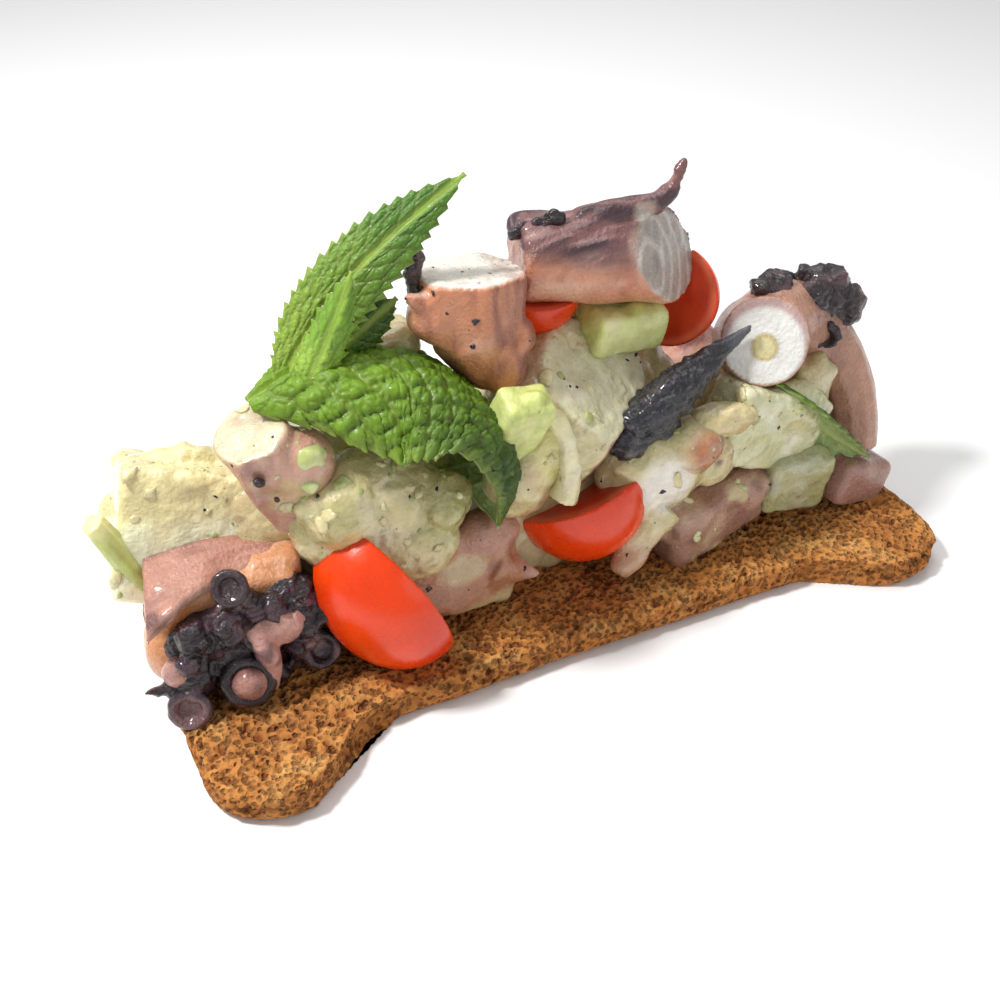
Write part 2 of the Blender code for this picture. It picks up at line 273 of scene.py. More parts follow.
def plug(start, end, wide_start, wide_end, sides=32, flat=1.0):
    """A round section between two cut ends."""
    a, b = Vector(start), Vector(end)
    turn = (b - a).to_track_quat("Z", "Y").to_euler()
    deselect()
    bpy.ops.mesh.primitive_cone_add(vertices=sides, radius1=wide_start * MM, radius2=wide_end * MM,
                                    depth=(b - a).length * MM, location=(a + b) / 2 * MM, rotation=turn)
    bpy.context.object.scale = (1, flat, 1)
    return settle(bpy.context.object)


def hoop(at, way, radius, thick, squash=1.0):
    """A rolled rim, such as a sucker's."""
    turn = Vector(way).to_track_quat("Z", "Y").to_euler()
    deselect()
    bpy.ops.mesh.primitive_torus_add(location=metres(at), rotation=turn, major_radius=radius * MM,
                                     minor_radius=thick * MM, major_segments=32, minor_segments=12)
    bpy.context.object.scale = (1, squash, 1)
    return settle(bpy.context.object)


def strand(route, smooth=True):
    """A tapering strand through points (x, y, z, radius)."""
    curve = bpy.data.curves.new("strand", "CURVE")
    curve.dimensions = "3D"
    curve.bevel_depth = MM
    curve.bevel_resolution = 4
    curve.use_fill_caps = True
    curve.resolution_u = 6
    line = curve.splines.new("NURBS" if smooth else "POLY")
    line.points.add(len(route) - 1)
    if smooth:
        line.order_u = min(4, len(route))
        line.use_endpoint_u = True
    for point, (x, y, z, wide) in zip(line.points, route):
        point.co = (*metres((x, y, z)), 1)
        point.radius = wide
    piece = bpy.data.objects.new("strand", curve)
    bpy.context.scene.collection.objects.link(piece)
    only(piece)
    bpy.ops.object.convert(target="MESH")
    return bpy.context.object


def sucker(at, way, radius, depth=0.6):
    """An octopus sucker: a short stalk with a rolled rim round a hollow mouth."""
    out = Vector(way).normalized()
    place = Vector(at)
    return [plug(place - out * radius * depth, place + out * radius * 0.1, radius * 0.7, radius * 0.85, 20),
            hoop(place + out * radius * 0.2, way, radius * 0.78, radius * 0.26)]


def apply_modifier(piece, kind, **settings):
    only(piece)
    modifier = piece.modifiers.new(kind.title(), kind)
    for key, value in settings.items():
        setattr(modifier, key, value)
    bpy.ops.object.modifier_apply(modifier=modifier.name)


def joined(name, parts):
    parts = [p for part in parts for p in (part if isinstance(part, list) else [part])]
    deselect()
    for part in parts:
        part.select_set(True)
    bpy.context.view_layer.objects.active = parts[0]
    if len(parts) > 1:
        bpy.ops.object.join()
    piece = bpy.context.object
    piece.name = name
    piece.data.name = name
    return piece


def grown(name, parts, fine=0.45, smooth=4):
    """Joins shapes into one skin with fine even faces, as one piece of food."""
    piece = joined(name, parts)
    apply_modifier(piece, "REMESH", mode="VOXEL", voxel_size=fine * MM)
    if smooth:
        apply_modifier(piece, "SMOOTH", factor=0.6, iterations=smooth)
    return piece


def fill_points(name, verts, faces):
    """A piece from points in millimetres and faces."""
    mesh = bpy.data.meshes.new(name)
    mesh.from_pydata((np.asarray(verts) * MM).tolist(), [], np.asarray(faces).tolist())
    shape = bmesh.new()
    shape.from_mesh(mesh)
    bmesh.ops.recalc_face_normals(shape, faces=shape.faces)
    if shape.calc_volume(signed=True) < 0:
        bmesh.ops.reverse_faces(shape, faces=shape.faces)
    shape.to_mesh(mesh)
    shape.free()
    piece = bpy.data.objects.new(name, mesh)
    bpy.context.scene.collection.objects.link(piece)
    return piece


def closed_sheet(name, top, below):
    """One closed piece from the rows of points of its upper and lower side."""
    rows, columns = top.shape[:2]
    shift = rows * columns
    index = np.arange(shift).reshape(rows, columns)
    quads = np.stack([index[:-1, :-1], index[1:, :-1], index[1:, 1:], index[:-1, 1:]], axis=-1).reshape(-1, 4)
    loop = np.concatenate([index[0, :], index[1:, -1], index[-1, -2::-1], index[-2:0:-1, 0]])
    ahead = np.roll(loop, -1)
    wall = np.stack([loop, ahead, ahead + shift, loop + shift], axis=-1)
    faces = np.concatenate([quads, quads[:, ::-1] + shift, wall])
    return fill_points(name, np.concatenate([top.reshape(-1, 3), below.reshape(-1, 3)]), faces)


def along_curve(points, count):
    """Evenly timed points on a smooth curve through a few given ones."""
    points = np.array(points, float)
    ends = np.vstack([2 * points[0] - points[1], points, 2 * points[-1] - points[-2]])
    out = []
    spans = len(points) - 1
    for k in range(count):
        where = k / (count - 1) * spans
        i = min(int(where), spans - 1)
        t = where - i
        a, b, c, d = ends[i:i + 4]
        out.append(0.5 * (2 * b + (c - a) * t + (2 * a - 5 * b + 4 * c - d) * t * t
                          + (3 * b - a - 3 * c + d) * t ** 3))
    return np.array(out)


def flap(back, front, thick, bulge=0.0):
    """A slab between two edges, each given by a few points."""
    a, b = along_curve(back, 60), along_curve(front, 60)
    v = np.linspace(0, 1, 24)[:, None, None]
    top = a[None] * (1 - v) + b[None] * v
    down = np.cross(b[-1] - a[0], a[-1] - b[0])
    down = -down / np.linalg.norm(down) * (1 if down[2] > 0 else -1)
    top = top - down * bulge * np.sin(np.pi * v)
    return closed_sheet("flap", top, top + down * thick)


def sliced(piece, at, way):
    """Cuts off what lies beyond a plane and closes the cut."""
    only(piece)
    bpy.ops.object.mode_set(mode="EDIT")
    bpy.ops.mesh.select_all(action="SELECT")
    bpy.ops.mesh.bisect(plane_co=metres(at), plane_no=way, use_fill=True, clear_outer=True)
    bpy.ops.object.mode_set(mode="OBJECT")
    return piece


def carved(name, parts, cuts, fine=0.42, smooth=3):
    """Joins shapes into one piece and gives it flat cut faces."""
    piece = grown(name, parts, fine * 1.4, 2)
    for at, way in cuts:
        sliced(piece, at, way)
    return grown(name, [piece], fine, smooth)


def on_cut(points, normals, at, way, depth=0.5):
    """1 on a cut face, 0 away from it."""
    way = np.array(Vector(way).normalized())
    away = np.abs((points - np.array(at)) @ way)
    return (1 - ramp(away, depth * 0.6, depth * 1.6)) * ramp(normals @ way, 0.6, 0.85)


def tint(piece, colours, wet=0.5):
    """Stores each point's colour, with its wetness as the fourth channel."""
    count = len(piece.data.vertices)
    layer = piece.data.color_attributes.new("tint", "FLOAT_COLOR", "POINT")
    values = np.ones((count, 4))
    values[:, :3] = colours
    values[:, 3] = np.clip(wet, 0, 1)
    layer.data.foreach_set("color", values.ravel())


def plain(piece, code):
    return np.tile(linear(code), (len(piece.data.vertices), 1))


def finish(piece, surface, slot, *nodes):
    """Gives the piece its material and its place in the model."""
    piece.data.materials.clear()
    piece.data.materials.append(surface)
    piece.data.shade_smooth()
    register(piece, slot, *nodes)


def register(piece, slot, *nodes):
    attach(piece, "root")
    if nodes:
        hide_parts(*nodes)


# ------------------------------------------------------------------------------------------- materials


class Surface:
    """A material under construction."""

    def __init__(self, name, **shader):
        self.material = bpy.data.materials.new(name)
        self.material.use_nodes = True
        self.tree = self.material.node_tree
        self.shader = self.tree.nodes["Principled BSDF"]
        for key, value in shader.items():
            self.shader.inputs[key.replace("_", " ")].default_value = value
        self.place = self.node("ShaderNodeTexCoord").outputs["Object"]

    def node(self, kind, settings=(), **links):
        """Adds a node; links and values are given by socket name, with _ for a space."""
        made = self.tree.nodes.new(kind)
        for key, value in dict(settings).items():
            setattr(made, key, value)
        for key, value in links.items():
            socket = made.inputs[int(key[1:])] if key[0] == "i" and key[1:].isdigit() else \
                made.inputs[key.replace("_", " ")]
            if isinstance(value, bpy.types.NodeSocket):
                self.tree.links.new(value, socket)
            else:
                socket.default_value = value
        return made

    def grain(self, size, detail=3.0, rough=0.55, kind="ShaderNodeTexNoise"):
        """Noise with lumps of this size in millimetres."""
        if kind == "ShaderNodeTexNoise":
            return self.node(kind, Vector=self.place, Scale=1 / (size * MM), Detail=detail, Roughness=rough)
        return self.node(kind, Vector=self.place, Scale=1 / (size * MM))

    def spread(self, value, low, high, out_low, out_high):
        return self.node("ShaderNodeMapRange", Value=value, From_Min=low, From_Max=high,
                         To_Min=out_low, To_Max=out_high).outputs["Result"]

    def mixed(self, share, a, b, way="MIX"):
        return self.node("ShaderNodeMix", {"data_type": "RGBA", "blend_type": way},
                         i0=share, i6=a, i7=b).outputs[2]

    def bump(self, height, depth):
        """Fine relief this deep in millimetres."""
        made = self.node("ShaderNodeBump", Height=height, Distance=depth * MM, Strength=1.0)
        self.link(made.outputs["Normal"], "Normal")

    def link(self, output, socket):
        self.tree.links.new(output, self.shader.inputs[socket])


def moist(name, roughness, spread, bump, grain, subsurface=0.12, coat=0.0, change=0.12):
    """Moist food: the piece's own colour with slight changes, uneven soft gloss and faint relief."""
    surface = Surface(name, Subsurface_Weight=subsurface, Subsurface_Scale=2 * MM, Coat_Weight=coat,
                      Coat_Roughness=0.08, IOR=1.45)
    surface.shader.inputs["Subsurface Radius"].default_value = (1.0, 0.5, 0.35)
    own = surface.node("ShaderNodeVertexColor", {"layer_name": "tint"})
    blotch = surface.grain(2.4).outputs["Fac"]
    shade = surface.spread(blotch, 0.3, 0.7, 1 - change, 1 + change)
    colour = surface.node("ShaderNodeVectorMath", {"operation": "SCALE"}, i0=own.outputs["Color"])
    surface.tree.links.new(shade, colour.inputs["Scale"])
    surface.link(colour.outputs["Vector"], "Base Color")
    patch = surface.grain(1.6, 2.0).outputs["Fac"]
    uneven = surface.spread(patch, 0.32, 0.68, -spread, spread)
    dry = surface.spread(own.outputs["Alpha"], 0, 1, roughness + 0.22, roughness - 0.1)
    total = surface.node("ShaderNodeMath", {"operation": "ADD", "use_clamp": True}, i0=dry, i1=uneven)
    surface.link(total.outputs[0], "Roughness")
    surface.bump(surface.grain(grain, 4.0).outputs["Fac"], bump)
    return surface.material


# Boiled octopus arm skin: wet, faintly wrinkled, with a clear soft shine.
octopus_skin = moist("boiled octopus skin, moist", 0.3, 0.16, 0.3, 0.6, coat=0.35)
# Dark gelatinous sucker membrane: nearly black, with sharp wet glints.
octopus_membrane = moist("boiled octopus membrane, wet", 0.24, 0.14, 0.45, 0.55, subsurface=0.05, coat=0.5)
# Potato and octopus stirred in a thin creamy dressing: satin, milky.
dressed = moist("potato salad dressing, stirred", 0.24, 0.16, 0.4, 1.1, subsurface=0.16, coat=0.9)
# Cut celery: half clear and juicy.
celery_cut = moist("celery stick, cut", 0.3, 0.1, 0.12, 0.6, subsurface=0.2, coat=0.3)
# Crisp toasted wholegrain bread: porous, dry.
def baked(name):
    """Dry porous crumb: small open bubbles of two sizes with pale walls over the piece's own colour; the
    bubbles' insides are darkened as painted shade.
    """
    surface = Surface(name, Roughness=0.85, IOR=1.4)
    own = surface.node("ShaderNodeVertexColor", {"layer_name": "tint"})
    bend = surface.grain(1.2, 2.0).outputs["Color"]
    shift = surface.node("ShaderNodeVectorMath", {"operation": "SCALE"}, i0=bend, Scale=0.9 * MM)
    place = surface.node("ShaderNodeVectorMath", {"operation": "ADD"}, i0=surface.place, i1=shift.outputs[0])
    heights = []
    for size, reach in ((1.5, 0.42), (0.85, 0.5)):
        bubble = surface.node("ShaderNodeTexVoronoi", Vector=place.outputs[0], Scale=1 / (size * MM))
        heights.append(surface.spread(bubble.outputs["Distance"], 0.12, reach, 0.0, 1.0))
    lowest = surface.node("ShaderNodeMath", {"operation": "MULTIPLY"}, i0=heights[0], i1=heights[1])
    rough = surface.grain(0.5, 4.0).outputs["Fac"]
    # Painted shade: the colour is scaled from 0.55 inside the bubbles up to 1.17 on their walls.
    shade = surface.node("ShaderNodeMath", {"operation": "MULTIPLY_ADD"}, i0=lowest.outputs[0], i1=0.62,
                         i2=0.55)
    tone = surface.node("ShaderNodeVectorMath", {"operation": "SCALE"}, i0=own.outputs["Color"])
    surface.tree.links.new(shade.outputs[0], tone.inputs["Scale"])
    grain = surface.spread(rough, 0.3, 0.7, 0.82, 1.18)
    last = surface.node("ShaderNodeVectorMath", {"operation": "SCALE"}, i0=tone.outputs["Vector"])
    surface.tree.links.new(grain, last.inputs["Scale"])
    surface.link(last.outputs["Vector"], "Base Color")
    total = surface.node("ShaderNodeMath", {"operation": "MULTIPLY_ADD"}, i0=rough, i1=0.35,
                         i2=lowest.outputs[0])
    surface.bump(total.outputs[0], 0.55)
    return surface.material


toast_crumb = baked("wholegrain toast crumb, baked")
# Tomato skin: very smooth, waxy.
tomato_skin = moist("cherry tomato skin, washed", 0.34, 0.06, 0.03, 1.2, subsurface=0.1, coat=0.15,
                    change=0.05)
# Mint leaf: satin, with fine relief between the net veins.
mint_leaf = moist("mint leaf, fresh", 0.42, 0.08, 0.12, 0.35, subsurface=0.06, coat=0.08, change=0.1)

# ----------------------------------------------------------------------------------------------- toast


def make_toast():
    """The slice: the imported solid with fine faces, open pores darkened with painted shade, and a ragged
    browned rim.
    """
    slice_low = np.array(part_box("toast")[0]) / MM
    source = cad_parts["toast"]
    piece = source.copy()
    piece.data = source.data.copy()
    bpy.context.scene.collection.objects.link(piece)
    only(piece)
    bpy.ops.object.mode_set(mode="EDIT")
    bpy.ops.mesh.select_all(action="SELECT")
    bpy.ops.mesh.remove_doubles(threshold=1e-5)
    bpy.ops.object.mode_set(mode="OBJECT")
    piece = grown("toast_slice", [piece], fine=0.4, smooth=2)
    p, n = points_of(piece), normals_of(piece)
    rim = 1 - ramp(n[:, 2], 0.3, 0.85)
    upper = ramp(p[:, 2], 0.6, 2.2)
    edge = 0.9 * waves(p * np.array([1, 1, 0.5]), 5, 9, 2) + 0.5 * waves(p, 1.8, 14)
    swell(piece, 0.35 * waves(p, 5, 6, 2) * upper + rim * upper * edge * 0.6)
    p = points_of(piece)
    loose = warped(p, 0.55, 1.6, 2)
    coarse, _ = cells(loose * np.array([1, 1, 1.3]), 2.3, 3)
    middling, _ = cells(loose, 1.35, 8)
    fine, _ = cells(p, 0.85, 12)
    at_left = ramp(-p[:, 0], 20, 50)
    open_crumb = ramp(waves(p, 7, 17, 2), -0.35, 0.45)
    pit = (1 - ramp(coarse, 0.1, 0.4)) * (0.25 + 0.75 * np.maximum(at_left, open_crumb))
    hole = (1 - ramp(middling, 0.14, 0.42)) * (0.4 + 0.6 * open_crumb)
    speck = 1 - ramp(fine, 0.15, 0.45)
    swell(piece, upper * (-1.0 * pit * (1 - 0.4 * rim) - 0.75 * hole - 0.3 * speck + 0.2
                          * waves(p, 1.1, 5, 2)))
    p = points_of(piece)
    p[:, 2] = np.maximum(p[:, 2], slice_low[2] + 0.02)
    move_points(piece, p)
    colours = plain(piece, CRUMB)
    colours = blend(colours, CRUMB_PALE, ramp(waves(p, 3.2, 11, 3), -0.1, 0.75) * 0.75)
    colours = blend(colours, CRUMB_RIM, rim * 0.7)
    colours = blend(colours, "8f5526", ramp(waves(p, 9, 13, 3), 0.05, 0.6) * 0.55)
    colours = blend(colours, "c98a4a", ramp(waves(p, 1.4, 21, 2), 0.1, 0.6) * (1 - rim) * 0.6)
    # Painted shade: the pits, holes and specks are darkened where shade falls in the pores.
    colours = blend(colours, CRUMB_PORE_SHADE, np.clip(0.85 * pit + 0.7 * hole + 0.4 * speck * (1 - 0.3 * rim),
                                                 0, 0.9))
    tint(piece, colours, 0.25)
    finish(piece, toast_crumb, "toast", "toast")


make_toast()

# ---------------------------------------------------------------------------------------------- tomato


def make_tomato(name, node, at, size, along, way, deep=0.3):
    """A quarter of a cherry tomato: waxy skin outside, two moist cut faces meeting in a ridge."""
    deselect()
    bpy.ops.mesh.primitive_uv_sphere_add(segments=96, ring_count=48, radius=1, rotation=(0, math.pi / 2, 0))
    piece = settle(bpy.context.object)
    piece.name = name
    only(piece)
    bpy.ops.object.mode_set(mode="EDIT")
    for side in (-1, 1):
        bpy.ops.mesh.select_all(action="SELECT")
        bpy.ops.mesh.bisect(plane_co=(0, 0, 0), plane_no=(0, side, -1), use_fill=True, clear_outer=True)
    bpy.ops.object.mode_set(mode="OBJECT")
    apply_modifier(piece, "REMESH", mode="VOXEL", voxel_size=0.022)
    apply_modifier(piece, "SMOOTH", factor=0.5, iterations=3)
    raw = np.empty(len(piece.data.vertices) * 3)
    piece.data.vertices.foreach_get("co", raw)
    raw = raw.reshape(-1, 3)
    round_away = np.linalg.norm(raw, axis=1)
    skin = ramp(round_away, 0.955, 0.99)
    out = Vector(way).normalized()
    length_way = (Vector(along) - out * out.dot(Vector(along))).normalized()
    width_way = out.cross(length_way)
    length, width, depth = size
    lean = np.array(length_way)[None, :] * raw[:, :1] * length / 2
    lean = lean + np.array(width_way)[None, :] * raw[:, 1:2] * width / math.sqrt(2)
    lean = lean + np.array(out)[None, :] * (raw[:, 2:3] - 0.5) * depth
    p = lean + np.array(at)
    move_points(piece, p)
    if piece.data.polygons and normals_of(piece)[skin > 0.5].mean(axis=0) @ np.array(out) < 0:
        piece.data.flip_normals()
    swell(piece, (1 - skin) * 0.12 * waves(p, 2.5, 4, 2) + 0.25 * waves(p, 9, 3))
    colours = plain(piece, TOMATO_SKIN)
    colours = blend(colours, TOMATO_DEEP, deep * ramp(waves(p, 9, 5, 2), -0.4, 0.7))
    flesh = np.tile(linear(TOMATO_FLESH), (len(p), 1))
    flesh = blend(flesh, "b92a12", ramp(waves(raw * 10, 2.2, 7, 2), -0.1, 0.6) * 0.6)
    flesh = blend(flesh, "f0825a", ramp(round_away, 0.8, 0.93) * 0.45)
    colours = colours * skin[:, None] + flesh * (1 - skin[:, None])
    tint(piece, colours, 0.6 + 0.3 * skin)
    finish(piece, tomato_skin, "tomato", *([node] if node else []))
    return piece


make_tomato("tomato_quarter_left", "tomato_front_left", (-31.5, -14.5, 15.5), (26, 15, 11),
            (0.58, -0.05, -0.81), (-0.45, -0.85, 0.1), 0.5)
make_tomato("tomato_quarter_right", "tomato_front_right", (4, -9.5, 16.3), (22, 18, 12),
            (0.94, 0.05, 0.3), (0.1, -0.92, -0.4), 0.3)
make_tomato("tomato_behind", "tomato_back", (-0.8, 3.4, 45.6), (15, 11, 7.5),
            (1, -0.16, 0.05), (-0.2, -0.6, -0.7), 0.9)
make_tomato("tomato_behind_right", "tomato_back_right", (25, 3, 40.5), (15, 13, 8),
            (0.62, 0, 0.78), (0.75, -0.3, -0.5), 0.9)

# ------------------------------------------------------------------------------------------------ mint


def make_leaf(name, node, midrib, half_width, side, droop=0.0, fold=0.0, veins=9, teeth=16, relief=0.7,
              lit=MINT_LIT, dark=MINT_SHADED, lit_until=0.5, seed=1, long_steps=260, wide_steps=76, curl=0.0,
              tooth_depth=0.9, cell=2.3):
    """A mint leaf: serrated, with sunk veins, puffed cells between them and a paler underside; painted light
    up to lit_until, painted shade beyond it and in the valleys between the cells.
    """
    spine = along_curve(midrib, long_steps)
    t = np.linspace(0, 1, long_steps)[:, None]
    s = np.linspace(-1, 1, 2 * wide_steps + 1)[None, :]
    along = np.gradient(spine, axis=0)
    along /= np.linalg.norm(along, axis=1)[:, None]
    across = np.array(Vector(side).normalized())[None, :]
    across = across - along * np.sum(along * across, axis=1)[:, None]
    across /= np.linalg.norm(across, axis=1)[:, None]
    up = np.cross(across, along)
    narrow = np.sin(np.pi * np.minimum(0.5, t * 1.15 + 0.04))
    tapered = np.cos(np.pi / 2 * (np.maximum(t - 0.4, 0) / 0.6) ** 1.5)
    width = np.maximum(half_width * np.where(t < 0.4, narrow, tapered), 0.35)
    saw = (t * teeth + 0.12 * np.sin(t * 31)) % 1
    tooth = tooth_depth * (saw ** 1.5 - 0.5) * np.minimum(1, width / half_width * 2)
    rim = np.abs(s) ** 6
    wide = s * width + np.sign(s) * rim * tooth
    share = np.abs(s) + 0 * t
    length = np.linalg.norm(np.diff(spine, axis=0), axis=1).sum()
    edge = ramp(share, 0.88, 1.0)
    bend = droop * s * s + fold * np.abs(s)
    out = wide * np.cos(bend * 0.6)
    fall = np.abs(wide) * np.sin(bend) - curl * edge * (1.0 + 0.8 * np.sin(t * 27))
    base = spine[:, None, :] + across[:, None, :] * out[:, :, None] - up[:, None, :] * fall[:, :, None]
    step = np.linalg.norm(np.diff(base, axis=1), axis=2)
    reach = np.concatenate([np.zeros((long_steps, 1)), np.cumsum(step, axis=1)], axis=1)
    reach = reach - reach[:, [wide_steps]]
    # Side veins leave the midrib slanting to the tip, and cross veins part the rows between them into cells.
    flat_place = np.stack([t * length + 0 * s, reach, 0 * t * s], axis=-1).reshape(-1, 3)
    wander = waves(flat_place, 3.0, seed).reshape(long_steps, -1)
    slant = t * veins - 0.16 * veins * share ** 0.9 * (width / half_width)
    slant = slant + np.where(s > 0, 0.45, 0) + 0.13 * wander
    row = np.floor(slant)
    over = np.abs(reach) / cell + 0.37 * row + 0.25 * waves(flat_place, 2.2, seed + 3).reshape(long_steps, -1)
    between = np.sin(np.pi * (slant - row))
    cushion = between ** 0.4 * np.sin(np.pi * (over % 1)) ** 0.4
    near, second = cells(flat_place, cell * 0.55, seed + 5)
    net = ramp(second - near, 0.0, 0.3).reshape(long_steps, -1)
    middle = 1 - ramp(np.abs(reach), 0.15, 0.8)
    main_vein = 1 - ramp(between, 0.0, 0.4)
    height = relief * (0.75 * cushion + 0.25 * net) * (1 - middle)
    height = height * np.minimum(1, width / half_width * 1.8) * (1 - 0.7 * edge) - 0.3 * relief * middle
    level = np.cross(np.gradient(base, axis=1), np.gradient(base, axis=0))
    level /= np.maximum(np.linalg.norm(level, axis=2), 1e-9)[:, :, None]
    level = level * np.sign(np.sum(level * up[:, None, :], axis=2))[:, :, None]
    top = base + level * height[:, :, None]
    below = top - level * 0.4
    rows, columns = top.shape[:2]
    piece = closed_sheet(name, top, below)
    p = points_of(piece)
    twice = lambda field: np.concatenate([(field + 0 * t + 0 * s).ravel()] * 2)
    is_under = np.concatenate([np.zeros(rows * columns), np.ones(rows * columns)])
    # Painted light and shade: the part before lit_until takes the lit colour and the rest the dark, shaded
    # colour; on the upright leaf the lit colour is also partly its own yellower base.
    lit_field = ramp(waves(p, 9, seed, 2) * 0.35 + (lit_until - twice(t)) * 1.8, -0.5, 0.6)
    colours = blend(plain(piece, dark), lit, lit_field)
    # Painted shade: the sunken valleys between the cushions are darkened by up to half, away from the midrib.
    low = 1 - twice(0.8 * cushion + 0.2 * net)
    colours = colours * (1 - 0.5 * low * (1 - twice(middle)))[:, None]
    colours = blend(colours, MINT_VEIN, twice(np.maximum(main_vein * 0.5, middle)) * 0.45)
    colours = blend(colours, MINT_VEIN, twice(edge) * 0.25)
    colours = blend(colours, MINT_UNDER, is_under * 0.75)
    tint(piece, colours, 0.55)
    finish(piece, mint_leaf, "mint", *([node] if node else []))
    return piece


# Each leaf's lit and dark colours are its painted light and painted shade.
make_leaf("mint_draped", "mint_leaf_large",
          [(-43, -0.5, 44.5), (-33, 0, 47.5), (-22, 0, 46), (-14, -3, 39.5), (-11, -8, 31),
           (-12.5, -11.5, 21)],
          15, (0.15, -0.95, 0.1), droop=0.8, veins=13, teeth=22, relief=1.15, lit_until=0.5, cell=2.6)
make_leaf("mint_standing", "mint_leaf_upright",
          [(-39, 0, 43.5), (-35, 0.5, 50), (-29, 0.5, 57), (-21, 0, 63.5), (-12, 0, 69)], 4.8,
          (0.5, -0.68, -0.52), fold=0.25, veins=15, teeth=21, relief=0.4, lit="8aa838", dark="4d7a1c",
          lit_until=0.55, seed=4, cell=1.5, tooth_depth=0.8)
make_leaf("mint_folded", "mint_leaf_small", [(-37, -3, 44.5), (-33, -3.5, 51.5), (-28.5, -3, 60.5)], 3.0,
          (0.7, -0.5, -0.4), fold=0.75, veins=8, teeth=10, relief=0.3, lit="9cc048", dark="74a02c", seed=6,
          long_steps=140, wide_steps=40, cell=1.6)
make_leaf("mint_behind_fold", None, [(-33, -1, 45.5), (-28, -0.6, 50), (-22, -0.5, 54.2)], 3.4,
          (0.45, -0.3, -0.8), fold=0.3, veins=8, teeth=9, relief=0.3, lit="4f7a18", dark="33570c", seed=7,
          long_steps=140, wide_steps=40, cell=1.6)
make_leaf("mint_slid_right", "mint_leaf_right",
          [(28.5, -4, 33.5), (35, -7, 29), (41.5, -9.5, 23.5), (47, -11, 18.5), (53.5, -12, 13.6)], 4.2,
          (0.3, -0.6, 0.7), droop=0.5, veins=8, teeth=12, relief=0.4, dark="2c4a0a", lit="4f7814", seed=8,
          long_steps=160, wide_steps=40)

# --------------------------------------------------------------------------------------------- octopus


def creamed(piece, seed, lumps=0.6, size=3.2):
    """Gives a dressed surface its soft knobs, thin folds and burst bubbles."""
    p = points_of(piece)
    loose = warped(p, 0.8, 2.6, seed)
    near, _ = cells(loose, size, seed)
    fold = np.abs(waves(loose, 2.3, seed + 4, 2))
    bubble, _ = cells(p, 1.5, seed + 7)
    few = ramp(waves(p, 5, seed + 8), -0.1, 0.3)
    swell(piece, lumps * (0.75 * (0.55 - near) + 0.5 * waves(p, 4.5, seed + 2, 2) + 0.6 * (0.3 - fold))
          - 0.28 * (1 - ramp(bubble, 0.1, 0.26)) * few)
    return points_of(piece)


def dressed_colours(piece, seed, base=DRESSING, pale=DRESSING_PALE, green=0.4, tan=0.4):
    """Creamy dressing: milky with greenish and tan areas and a few dark specks."""
    p = points_of(piece)
    colours = plain(piece, base)
    colours = blend(colours, pale, ramp(waves(p, 4, seed, 2), -0.1, 0.7))
    colours = blend(colours, DRESSING_GREEN, green * ramp(waves(p, 6, seed + 1, 2), 0.0, 0.6))
    colours = blend(colours, DRESSING_TAN, tan * ramp(waves(p, 5, seed + 2, 2), 0.0, 0.6))
    near, _ = cells(p, 3.4, seed + 3)
    speck = 1 - ramp(near, 0.05, 0.1)
    return blend(colours, "3a2b2c", speck * 0.85)


